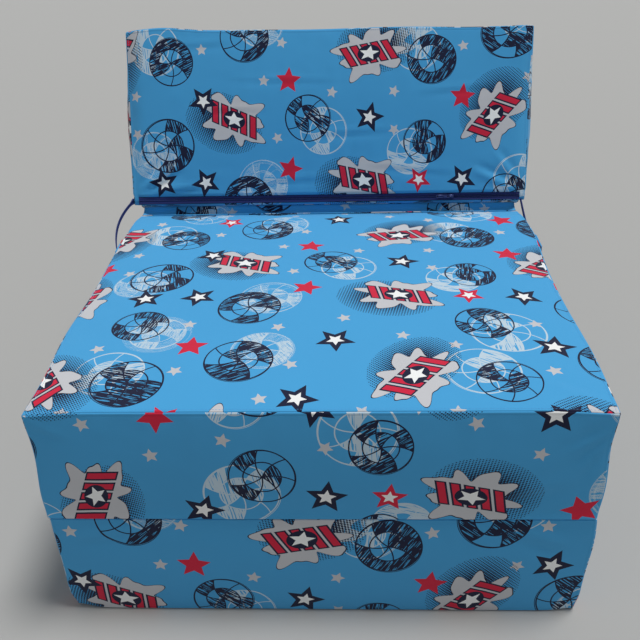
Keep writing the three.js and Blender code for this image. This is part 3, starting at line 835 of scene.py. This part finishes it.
# %% [markdown]
# All of it comes together here. Each panel's grid is shaped, given its share of the cloth's
# movement, its folds, its seams and its channel, and then the six are merged along the seams.
# The cloth map is written face by face, straight from the flat panel, so the print lies on the
# cloth as it was cut. Between two stacked blocks the faces press flat, and there the cloth's
# movement is left out.

# %% From shaped panels to one mesh


def flat_map(box, panel, lay):
    """Where each point lies on the bolt of cloth, in metres, for how the panel was laid on it."""
    axis, sign = PANELS[panel]
    flat = np.stack([(sign * box[..., 1], box[..., 2]), (-sign * box[..., 0], box[..., 2]),
                     (box[..., 0], sign * box[..., 1])][axis], -1)
    shift_x, shift_y, quarter = lay
    for _ in range(quarter):
        flat = np.stack([-flat[..., 1], flat[..., 0]], -1)
    return flat * MM + (shift_x, shift_y)


def make_mesh(name, points, faces, uvs, merge=0.02, outward=False):
    """A mesh object from points in millimetres, with a cloth map, merged along its seams."""
    mesh = bpy.data.meshes.new(name)
    mesh.from_pydata((points * MM).tolist(), [], faces)
    layer = mesh.uv_layers.new(name=UV_NAME)
    layer.data.foreach_set("uv", uvs.astype(np.float32).ravel())
    shape = bmesh.new()
    shape.from_mesh(mesh)
    bmesh.ops.remove_doubles(shape, verts=shape.verts, dist=merge * MM)
    if outward:
        bmesh.ops.recalc_face_normals(shape, faces=shape.faces)
    shape.to_mesh(mesh)
    shape.free()
    mesh.shade_smooth()
    return new_object(name, mesh)


def boxed_mesh(name, panels, lays):
    """One closed piece of cotton from six panels, each given as its flat grid and its points."""
    vertices, faces, maps = [], [], []
    for panel, (box, points) in panels.items():
        start = len(vertices)
        vertices += points.reshape(-1, 3).tolist()
        quads = panel_quads(panel, np.arange(points[..., 0].size).reshape(points.shape[:2]))
        faces += (quads + start).tolist()
        maps.append(flat_map(box, panel, lays[panel]).reshape(-1, 2)[quads.ravel()])
    piece = make_mesh(name, np.array(vertices), faces, np.concatenate(maps))
    piece.data.materials.append(printed_cotton)
    return piece


print("boxed mesh helper ready")

# %% [markdown]
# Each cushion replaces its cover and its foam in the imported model. The places of its panels are
# kept, because the topstitching follows them.

# %% Build the three cushions
PRESSED = {"base": ("top", "under"), "seat": ("under",), "back": ("under",)}


def shape_panels(block, seed):
    """Each panel of a cushion: its flat grid and its shaped points."""
    size, place = BLOCKS[block]["size"], np.array(BLOCKS[block]["place"])
    half = np.array(size) / 2
    moved, grids, coarse = belly(block + "_cover_cloth", size, seed)
    zip_panel, zip_height = BLOCKS[block]["zip"]
    low, high = zip_height - ZIP_WINDOW / 2, zip_height + ZIP_WINDOW / 2
    ends = [ZIP_END_MARGIN - LIP, ZIP_END_MARGIN]
    ends += [size[0] - end for end in ends]
    fine = [grid_lines(size[0], ends), grid_lines(size[1]),
            grid_lines(size[2], [low - LIP, low, high, high + LIP])]
    panels = {}
    for panel, (axis, sign) in PANELS.items():
        box = panel_points(size, panel, fine)
        points, out = soften(box, size, BLOCKS[block]["swell"], panel, DRAW_IN[block])
        if panel not in PRESSED[block]:
            points += CLOTH_SHARE * carried(moved, grids[panel], axis, coarse, fine)
        away = np.delete(half - np.abs(box), axis, -1).min(-1)
        points += out * seam_profile(away)[..., None]
        upright = box[..., 2] + half[2]
        across = box[..., 1] if axis == 0 else box[..., 0]
        height = box[..., 1] if axis == 2 else upright
        points[..., axis] += sign * fold_height(FOLDS.get((block, panel), ()), across, height)
        if panel == zip_panel:
            inside = (upright >= low - ON_EDGE) & (upright <= high + ON_EDGE)
            inside &= np.abs(box[..., 0]) <= half[0] - ZIP_END_MARGIN + ON_EDGE
            points[inside, 1] = sign * (half[1] - CHANNEL_DEPTH)
        points += pulled(block, box)
        panels[panel] = (box, points @ place[:3, :3].T + place[:3, 3])
    return panels


cushions, panel_rows = {}, {}
for seed, block in enumerate(BLOCKS, start=3):
    panel_rows[block] = shape_panels(block, seed)
    cushion = boxed_mesh(block + "_cushion", panel_rows[block], BLOCKS[block]["map"])
    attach(cushion, block)
    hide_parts(block + "_cover", block + "_foam")
    cushions[block] = cushion
    print(cushion.name, len(cushion.data.polygons), "faces")

# %% [markdown]
# ## Plain finishes
# The thread and the zips' parts are too small to show a print, but one flat colour would look
# dead. Two tones that a fine noise mixes are enough, and a relief gives the tapes their ribs.

# %% A material of two tones


def plain_material(name, low, high, scale, roughness, detail=3, relief=None, **sockets):
    """Two tones that a fine noise mixes, on the piece's own coordinates. relief makes its bump."""
    material, bench, shader = new_material(name)
    spot = bench.add("ShaderNodeTexCoord", out=3)
    tone = bench.add("ShaderNodeTexNoise", spot, None, scale, detail)
    bench.feed(shader, {"Base Color": bench.blend(tone, linear(low), linear(high)),
                        "Roughness": roughness})
    bench.feed(shader, {key.replace("_", " "): value for key, value in sockets.items()})
    if relief:
        bench.feed(shader, {"Normal": relief(bench, spot, tone)})
    return material


blue_thread = plain_material("blue_thread", "#2F7FBA", "#5FB0E2", 400, 0.7, 2, Sheen_Weight=0.2)
print("thread material:", blue_thread.name)

# %% [markdown]
# ## Topstitching
# A boxed cover is topstitched beside its seams, a row of short threads 4 mm in from the edge.
# Modelling each thread by hand would take days, and a bump map would vanish in the exported
# mesh, so Geometry Nodes lay one small thread again and again along the seam. The path is the row
# of the panel's own grid that runs 4 mm from the edge, so each thread lies on the cloth.

# %% A node tree that lays threads along a path
STITCH_LENGTH, STITCH_GAP, THREAD = 2.6, 1.0, 0.5


def named_tree(name, sizes):
    """A Geometry Nodes tree with a geometry, named sizes and a material as its inputs."""
    tree = bpy.data.node_groups.new(name, "GeometryNodeTree")
    inputs = {"Geometry": "Geometry"} | dict.fromkeys(sizes, "Float") | {"Material": "Material"}
    for socket, kind in inputs.items():
        tree.interface.new_socket(socket, in_out="INPUT", socket_type="NodeSocket" + kind)
    tree.interface.new_socket("Geometry", in_out="OUTPUT", socket_type="NodeSocketGeometry")
    return tree, tree.nodes.new("NodeGroupInput").outputs, Bench(tree)


def ball(bench, segments, rings, size):
    """A rounded bead of few faces, stretched to its size."""
    shape = {"Segments": segments, "Rings": rings, "Radius": 0.5}
    bead = bench.add("GeometryNodeMeshUVSphere", named=shape)
    return bench.add("GeometryNodeTransform", named={"Geometry": bead, "Scale": size})


def close_tree(bench, shape, material):
    """Ends a tree: real geometry instead of instances, with its material."""
    real = bench.add("GeometryNodeRealizeInstances", shape)
    bench.add("NodeGroupOutput", bench.add("GeometryNodeSetMaterial", real, None, material))


def thread_tree():
    tree, entry, bench = named_tree("topstitch", ["Stitch", "Gap", "Thread"])
    path, stitch, gap, thread = entry[:4]
    curve = bench.add("GeometryNodeMeshToCurve", path)
    step = bench.sum("ADD", stitch, gap)
    evenly = bench.add("GeometryNodeResampleCurve", curve, named={"Length": step}, mode="LENGTH")
    bead = ball(bench, 6, 4, bench.add("ShaderNodeCombineXYZ", stitch, thread, thread))
    aim = bench.add("FunctionNodeAlignRotationToVector", axis="X",
                    named={"Vector": bench.add("GeometryNodeInputTangent")})
    laid = bench.add("GeometryNodeInstanceOnPoints",
                     named={"Points": evenly, "Instance": bead, "Rotation": aim})
    close_tree(bench, laid, entry["Material"])
    return tree


TOPSTITCH = thread_tree()
print("topstitch inputs:", [item.name for item in TOPSTITCH.interface.items_tree])

# %% [markdown]
# A finished tree is turned into a plain mesh before it rides on its body, because the export
# drops instances. The helper sets each named size by its socket's identifier.

# %% From a tree to a plain mesh


def run_tree(name, tree, mesh, sizes, material):
    """The plain mesh object that a tree makes. The sizes are in millimetres."""
    carrier = new_object(name + "_path", mesh)
    step = carrier.modifiers.new("maker", "NODES")
    step.node_group = tree
    for item in tree.interface.items_tree:
        if item.in_out == "INPUT" and item.name in sizes:
            step[item.identifier] = float(sizes[item.name] * MM)
        if item.in_out == "INPUT" and item.name == "Material":
            step[item.identifier] = material
    bpy.context.view_layer.update()
    evaluated = carrier.evaluated_get(bpy.context.evaluated_depsgraph_get())
    made = bpy.data.meshes.new_from_object(evaluated)
    made.name = name
    bpy.data.objects.remove(carrier)
    return new_object(name, made)


print("tree runner ready")

# %% [markdown]
# The base and the seat are stitched round their top and bottom panels, and the back round its
# front and rear ones, because a boxed cover is sewn with its band between its two large panels.

# %% The rows of topstitching
STITCHED = {"base": ("top", "under"), "seat": ("top", "under"), "back": ("front", "rear")}
THREAD_LIFT = 0.2


def stitch_loop(block, panel):
    """The row of the panel's grid that lies 4 mm from its edges, just proud of the cloth."""
    points = panel_rows[block][panel][1]
    row = EDGE_ROWS.index(STITCH_ROW)
    last = (points.shape[0] - 1 - row, points.shape[1] - 1 - row)
    loop = [points[i, row] for i in range(row, last[0])]
    loop += [points[last[0], j] for j in range(row, last[1])]
    loop += [points[i, last[1]] for i in range(last[0], row, -1)]
    loop += [points[row, j] for j in range(last[1], row, -1)]
    axis, sign = PANELS[panel]
    normal = np.array(BLOCKS[block]["place"])[:3, axis] * sign
    return [p + normal * THREAD * THREAD_LIFT for p in loop]


def path_mesh(name, loops):
    """A mesh of bare edges round closed loops of points in millimetres."""
    points, edges = [], []
    for loop in loops:
        start, count = len(points), len(loop)
        points += [tuple(p * MM) for p in loop]
        edges += [(start + i, start + (i + 1) % count) for i in range(count)]
    mesh = bpy.data.meshes.new(name)
    mesh.from_pydata(points, edges, [])
    return mesh


for block, panels in STITCHED.items():
    path = path_mesh(block + "_seams", [stitch_loop(block, panel) for panel in panels])
    sizes = {"Stitch": STITCH_LENGTH, "Gap": STITCH_GAP, "Thread": THREAD}
    stitches = run_tree(block + "_topstitch", TOPSTITCH, path, sizes, blue_thread)
    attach(stitches, block)
    print(stitches.name, len(stitches.data.polygons), "faces")

# %% [markdown]
# ## Zips
# Each cover closes with a coil zip, so that the foam can come out: two woven tapes, a chain of
# small plastic loops that lock into each other, and a slider with a pull tab. The tapes are flat
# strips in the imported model, and they only need their weave. The chain's teeth follow a rule, so
# Geometry Nodes place them: two rows, half a step apart, that part beyond the slider.

# %% A node tree for the zip's chain
TOOTH_PITCH, TOOTH_WIDTH, TOOTH_LENGTH, TOOTH_THICK = 1.4, 0.95, 2.5, 2.2
ROW_OFFSET = 0.55
SPLIT_GAP, SPLIT_RUN = 0.9, 9
SEAM_CLEAR = 0.3


def chain_tree():
    sizes = ["Length", "Pitch", "Row", "Split from", "Split run", "Split gap"]
    tree, entry, bench = named_tree("zip_chain", sizes)
    length, pitch, row, split_from, split_run, split_gap = entry[1:7]
    bead = ball(bench, 6, 5, (TOOTH_WIDTH * MM, TOOTH_THICK * MM, TOOTH_LENGTH * MM))
    count = bench.sum("FLOOR", bench.sum("DIVIDE", length, pitch))
    first = bench.sum("MULTIPLY", length, -0.5)
    where = bench.axes(bench.add("GeometryNodeInputPosition"))[0]
    apart = bench.add("ShaderNodeMapRange", interpolation_type="SMOOTHSTEP", named={
        "Value": where, "From Min": split_from, "From Max": bench.sum("ADD", split_from, split_run),
        "To Max": split_gap})
    rows = tree.nodes.new("GeometryNodeJoinGeometry")
    for side in (1, -1):
        begin = bench.sum("MULTIPLY_ADD", pitch, 0.25 + 0.25 * side, first)
        line = bench.add("GeometryNodeMeshLine", named={
            "Count": count, "Start Location": bench.add("ShaderNodeCombineXYZ", begin),
            "Offset": bench.add("ShaderNodeCombineXYZ", pitch)})
        rise = bench.sum("MULTIPLY", bench.sum("ADD", row, apart), side)
        moved = bench.add("GeometryNodeSetPosition", named={
            "Geometry": line, "Offset": bench.add("ShaderNodeCombineXYZ", None, None, rise)})
        laid = bench.add("GeometryNodeInstanceOnPoints", named={"Points": moved, "Instance": bead})
        bench.feed(rows, {0: laid})
    close_tree(bench, rows.outputs[0], entry["Material"])
    return tree


ZIP_CHAIN = chain_tree()
print("chain inputs:", [item.name for item in ZIP_CHAIN.interface.items_tree])

# %% [markdown]
# The zip's finishes are a ribbed navy tape, satin plastic teeth and a painted slider whose paint
# has rubbed thin in places.

# %% Zip finishes
TAPE_RIB, TAPE_ROW = 0.7, 0.9
RIB_STRENGTH, RIB_DEPTH = 0.3, 0.15
PAINT_STRENGTH, PAINT_DEPTH = 0.1, 0.1


def tape_relief(bench, spot, _):
    """Ribs along the tape and rows across it."""
    x, _, z = bench.axes(spot)
    ribs, rows = (bench.sum("SINE", bench.sum("MULTIPLY", axis, math.tau / (pitch * MM)))
                  for axis, pitch in ((x, TAPE_RIB), (z, TAPE_ROW)))
    return bench.bump(bench.sum("ADD", ribs, rows), RIB_STRENGTH, RIB_DEPTH)


def paint_relief(bench, _, tone):
    return bench.bump(tone, PAINT_STRENGTH, PAINT_DEPTH)


tape_weave = plain_material("zip_tape_weave", "#0B1A50", "#15296C", 300, 0.8, relief=tape_relief)
coil_plastic = plain_material("zip_coil_plastic", "#101F5C", "#22397F", 200, 0.35)
zip_paint = plain_material("zip_paint", "#0F1A45", "#2A3C78", 250, 0.32, relief=paint_relief,
                           Metallic=0.35)
print("zip finishes:", tape_weave.name, coil_plastic.name, zip_paint.name)

# %% [markdown]
# The chain is laid along the zip's own middle line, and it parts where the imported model's slider
# is parked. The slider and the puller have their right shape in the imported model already. Cast
# metal has no sharp edge, so a merged copy of each gets its edges bevelled.

# %% Teeth, sliders and pullers
SLIDER_MARGINS = {"base": 20, "seat": 20, "back": 117}
ZIP_SINK = 2
FLAT_ANGLE, SHARP_ANGLE = 0.02, 0.6
BEVEL = 0.12


def zip_frame(block):
    """The zip's own frame, in metres: X along the zip, Z across it and -Y out of the cover."""
    size = BLOCKS[block]["size"]
    panel, height = BLOCKS[block]["zip"]
    sign = PANELS[panel][1]
    middle = Matrix.Translation((0, sign * (size[1] / 2 - ZIP_SINK), height - size[2] / 2))
    place = BLOCKS[block]["place"] @ middle @ Matrix.Rotation(0 if sign < 0 else math.pi, 4, "Z")
    return Matrix.Translation(place.translation * MM) @ place.to_3x3().to_4x4()


def zip_length(block):
    return BLOCKS[block]["size"][0] - 2 * (ZIP_END_MARGIN + SEAM_CLEAR)


def zip_teeth(block, margin):
    """The two rows of teeth of one zip, parted beyond its slider."""
    length = zip_length(block)
    sizes = {"Length": length, "Pitch": TOOTH_PITCH, "Row": ROW_OFFSET,
             "Split from": length / 2 + SEAM_CLEAR - margin, "Split run": SPLIT_RUN,
             "Split gap": SPLIT_GAP}
    teeth = run_tree(block + "_zip_teeth", ZIP_CHAIN, bpy.data.meshes.new("empty"), sizes,
                     coil_plastic)
    teeth.data.transform(zip_frame(block))
    teeth.data.shade_smooth()
    return teeth


def repaint(mesh, material):
    mesh.materials.clear()
    mesh.materials.append(material)


def finished_copy(node):
    """A merged copy of a small hard node with its edges softened."""
    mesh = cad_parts[node].data.copy()
    mesh.name = node + "_finished"
    shape = bmesh.new()
    shape.from_mesh(mesh)
    bmesh.ops.remove_doubles(shape, verts=shape.verts, dist=0.001 * MM)
    bmesh.ops.dissolve_limit(shape, angle_limit=FLAT_ANGLE, verts=shape.verts, edges=shape.edges)
    sharp = [edge for edge in shape.edges
             if len(edge.link_faces) == 2 and edge.calc_face_angle() > SHARP_ANGLE]
    bmesh.ops.bevel(shape, geom=sharp, offset=BEVEL * MM, segments=2, affect="EDGES",
                    clamp_overlap=True)
    shape.to_mesh(mesh)
    shape.free()
    repaint(mesh, zip_paint)
    mesh.shade_smooth()
    return new_object(mesh.name, mesh)


for block, margin in SLIDER_MARGINS.items():
    teeth = zip_teeth(block, margin)
    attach(teeth, block)
    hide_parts(block + "_zip_coil")
    for part in ("slider", "puller"):
        piece = finished_copy(f"{block}_zip_{part}")
        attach(piece, f"{block}_{part}")
        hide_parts(f"{block}_zip_{part}")
    for side in ("upper", "lower"):
        repaint(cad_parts[f"{block}_zip_tape_{side}"].data, tape_weave)
    print(block, "zip:", len(teeth.data.polygons), "tooth faces")

# %% [markdown]
# Narrow bands of cloth are needed in several places. One helper makes them all: it joins closed
# rings of points into one skin, closes the ends, and writes the cloth map beside it. A band along
# X is then one section, drawn in the plane across it and repeated.

# %% A strip of cloth


def run_lengths(points):
    """How far along a path each of its points lies."""
    return np.concatenate([[0], np.cumsum(np.linalg.norm(np.diff(points, axis=0), axis=1))])


def sweep(name, rings, along, around, material):
    """A closed skin over rings of points, in millimetres, with its places on the cloth map."""
    steps, count = rings.shape[0] - 1, rings.shape[1]
    faces, map_points = [], []
    for i, j in np.ndindex(steps, count):
        k = (j + 1) % count
        faces.append((i * count + j, i * count + k, (i + 1) * count + k, (i + 1) * count + j))
        map_points += [(along[i], around[j]), (along[i], around[j + 1]),
                       (along[i + 1], around[j + 1]), (along[i + 1], around[j])]
    for end, order in ((0, range(count - 1, -1, -1)), (steps, range(count))):
        faces.append([end * count + j for j in order])
        map_points += [(along[end], around[j]) for j in order]
    piece = make_mesh(name, rings.reshape(-1, 3), faces, np.array(map_points) * MM, merge=0.001,
                      outward=True)
    piece.data.materials.append(material)
    return piece


def strip(name, section, length, material, segments=60, end_section=None, taper=1):
    """A strip along X from a section of (y, z) points in millimetres.

    Over the last stretch, taper, the section changes into end_section."""
    xs = np.linspace(-length / 2, length / 2, segments + 1)
    change = np.array(end_section or section) - np.array(section)
    shares = np.clip(1 - (length / 2 - np.abs(xs)) / taper, 0, 1)
    rings = np.array([[(x, *p) for p in np.array(section) + s**2 * change]
                      for x, s in zip(xs, shares)])
    return sweep(name, rings, xs, run_lengths(section + section[:1]), material)


print("strip helper ready")

# %% [markdown]
# Behind the teeth the two tapes meet, so no printed cloth shows between them. A plain strip of the
# same weave stands for that: a thin closed band behind the teeth, with rounded long edges.

# %% Backing behind the teeth
BACKING_THICK, BACKING_WIDTH = 0.6, 10.6
BACKING_DEPTH = 2.6
BACKING_STEPS = 120

half, edge = BACKING_THICK / 2, BACKING_WIDTH / 2
backing_section = [(-half, half - edge), (-half, 0), (-half, edge - half), (0, edge),
                   (half, edge - half), (half, 0), (half, half - edge), (0, -edge)]
backing_section = [(y + BACKING_DEPTH, z) for y, z in backing_section]
for block in BLOCKS:
    length = zip_length(block)
    band = strip(block + "_zip_backing", backing_section, length, tape_weave, BACKING_STEPS)
    band.data.transform(zip_frame(block))
    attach(band, block)
    print(band.name, round(length, 1), "mm long")

# %% [markdown]
# ## The sewn folds
# The covers are joined where the blocks fold: a narrow strip of the same cotton bridges each
# crease, in front between base and seat and behind between seat and back. Each is a thin closed
# strip whose section is drawn in the plane across the fold.

# %% Front and rear folds
FOLD_LENGTH = WIDTH - 2 * (EDGE_RADIUS + DRAW_IN["base"])
FRONT_FOLD_Z = THICK + STACK_GAP / 2
FRONT_FOLD = [(1.6, -1.1), (2.2, 0), (1.6, 1.1), (2.6, 1.6), (4.2, 0.8), (4.6, 0), (4.2, -0.8),
              (2.6, -1.6)]
REAR_FOLD = [(278.8, 295.2), (281.4, 291.8), (284.8, 289.2), (289.3, 288.1), (293.8, 288.9),
             (297.2, 291.8), (299, 296.2), (298.4, 301)]
REAR_FOLD_LENGTH = WIDTH - 4
REAR_FOLD_THICK = 1
REAR_FOLD_STEPS = 120
REAR_FOLD_TAPER, REAR_FOLD_SLACK_LEFT = 26, 0.3

front_y = -DEPTH / 2
front_fold = strip("front_fold", [(front_y + y, z + FRONT_FOLD_Z) for y, z in FRONT_FOLD],
                   FOLD_LENGTH, printed_cotton)
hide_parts("front_hinge_web")
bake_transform(front_fold)


def thick_section(path):
    """The closed section of a cloth that follows a path."""
    run = np.gradient(path, axis=0)
    run /= np.linalg.norm(run, axis=1, keepdims=True)
    below = path + np.stack([run[:, 1], -run[:, 0]], -1) * REAR_FOLD_THICK
    return [tuple(p) for p in path] + [tuple(p) for p in below[::-1]]


fold_path = np.array(REAR_FOLD)
straight = np.linspace(fold_path[0], fold_path[-1], len(fold_path))
end_path = straight + REAR_FOLD_SLACK_LEFT * (fold_path - straight)
rear_fold = strip("rear_fold", thick_section(fold_path), REAR_FOLD_LENGTH, printed_cotton,
                  REAR_FOLD_STEPS, thick_section(end_path), REAR_FOLD_TAPER)
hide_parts("rear_hinge_web")
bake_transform(rear_fold)

# %% [markdown]
# ## Side straps
# A narrow navy tape runs from each lower corner of the back to a printed tab that is sewn to the
# seat's flank. It stops the back from falling too far behind the seat. The left one stands out in
# its slack and the right one hangs against the flank. A tape could be a bent plane, but then it
# has no edge, so its section is drawn with its two hems and swept along a hanging curve.

# %% Straps
STRAP_WIDTH, STRAP_THICK = 5, 1.6
STRAP_STEPS = 64
STRAP_TUCK = {-1: -1, 1: 7}
STRAP_START = (298.07, 312.95)
STRAP_BULGE = {-1: 18, 1: -4}
STRAP_DROP = {-1: -2, 1: 18}
STRAP_KNOT = {-1: 0.9, 1: 0}
KNOT_REACH = 0.05
STRAP_TWIST = 0.16
STRAP_RIM = [(-1, 0.55), (-0.93, 0.95), (-0.8, 1), (-0.7, 0.6), (0, 0.55),
             (0.7, 0.6), (0.8, 1), (0.93, 0.95), (1, 0.55)]
TAB_PLACE = (165, 285.6)
TAB = (2.4, 44, 14)
TAB_LAP = {-1: 30, 1: 10}


def flank_reach(side):
    """How far out the seat's flank stands under the tab, read from the finished cushion."""
    tree = BVHTree.FromObject(cushions["seat"], bpy.context.evaluated_depsgraph_get())
    reaches = []
    for along in (-TAB[1] / 2, TAB[1] / 2):
        for rise in (-TAB[2] / 2, TAB[2] / 2):
            start = (side * 0.5, (TAB_PLACE[0] + along) * MM, (TAB_PLACE[1] + rise) * MM)
            reaches.append(abs(tree.ray_cast(Vector(start), Vector((-side, 0, 0)))[0].x) / MM)
    return max(reaches)


def strap_curve(side, start_x, end_x):
    """Points of the slack tape, from the back's corner to the tab."""
    axis_y, axis_z = REAR_AXIS[1:]
    end_y = TAB_PLACE[0] + TAB[1] / 2 - TAB_LAP[side]
    bulge = max(start_x, end_x) + STRAP_BULGE[side]
    drop = STRAP_DROP[side]
    run = axis_y - end_y
    controls = [(start_x, *STRAP_START), (bulge, axis_y - run / 4, axis_z - drop),
                (bulge, axis_y - run / 2, TAB_PLACE[1] - drop), (end_x, end_y, TAB_PLACE[1])]
    t = np.linspace(0, 1, STRAP_STEPS + 1)[:, None]
    weights = ((1 - t) ** 3, 3 * t * (1 - t) ** 2, 3 * t**2 * (1 - t), t**3)
    points = sum(weight * np.array(control) for weight, control in zip(weights, controls))
    points[:, 0] *= side
    return points


def strap(name, side, reach):
    """A hemmed tape swept along its hanging curve, gathered where it is knotted to the back."""
    path = strap_curve(side, BACK_WIDTH / 2 - STRAP_TUCK[side],
                       reach + TAB[0] + 2 * SEAM_CLEAR + STRAP_THICK / 2)
    tangents = np.gradient(path, axis=0)
    tangents /= np.linalg.norm(tangents, axis=1, keepdims=True)
    section = STRAP_RIM + [(w, -t) for w, t in reversed(STRAP_RIM)]
    rings = []
    for place, tangent, share in zip(path, tangents, np.linspace(0, 1, STRAP_STEPS + 1)):
        out = np.cross(tangent, (0, 0, 1))
        out /= np.linalg.norm(out)
        rise = np.cross(out, tangent)
        twist = STRAP_TWIST * math.sin(math.pi * share) * side
        out, rise = (out * math.cos(twist) + rise * math.sin(twist),
                     rise * math.cos(twist) - out * math.sin(twist))
        knot = 1 + STRAP_KNOT[side] * math.exp(-((share / KNOT_REACH) ** 2))
        rings.append([place + knot * (rise * w * STRAP_WIDTH / 2 + out * t * STRAP_THICK / 2)
                      for w, t in section])
    around = run_lengths(np.array(section + section[:1]) * (STRAP_WIDTH / 2, STRAP_THICK / 2))
    return sweep(name, np.array(rings), run_lengths(path), around, tape_weave)


print("strap section:", 2 * len(STRAP_RIM), "points")

# %% [markdown]
# The tab that holds a strap's end is a folded scrap of the same cotton, so it is made like a tiny
# block: six panels with rounded edges, and two sides that ripple where the sewing pulls them.

# %% Tabs, and both sides together
TAB_STEP = 1.2
TAB_RADIUS = 1.1
TAB_RIPPLE, TAB_RIPPLE_TURN = 0.25, 0.9
TAB_LAY = {-1: (-0.02, 0.09, 0), 1: (0.22, 0.09, 0)}


def tab_piece(name, side, reach):
    """A printed tab on the flank, with rounded edges and a cloth map."""
    lines = [np.linspace(-s / 2, s / 2, max(3, round(s / TAB_STEP))) for s in TAB]
    middle = (side * (reach + SEAM_CLEAR + TAB[0] / 2), *TAB_PLACE)
    panels = {}
    for panel in PANELS:
        box = panel_points(TAB, panel, lines)
        points = rounded(box, TAB, TAB_RADIUS)[0]
        if panel in ("left", "right"):
            points[..., 0] += TAB_RIPPLE * np.sin(box[..., 1] * TAB_RIPPLE_TURN)
        panels[panel] = (box, points + middle)
    return boxed_mesh(name, panels, dict.fromkeys(PANELS, TAB_LAY[side]))


for side, word in ((-1, "left"), (1, "right")):
    reach = flank_reach(side)
    piece = strap(word + "_strap", side, reach)
    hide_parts(word + "_side_strap")
    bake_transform(piece)
    tab = tab_piece(word + "_strap_tab", side, reach)
    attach(tab, "seat")
    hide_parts(word + "_strap_anchor")
    print(piece.name, "flank at", round(reach, 1), "mm")
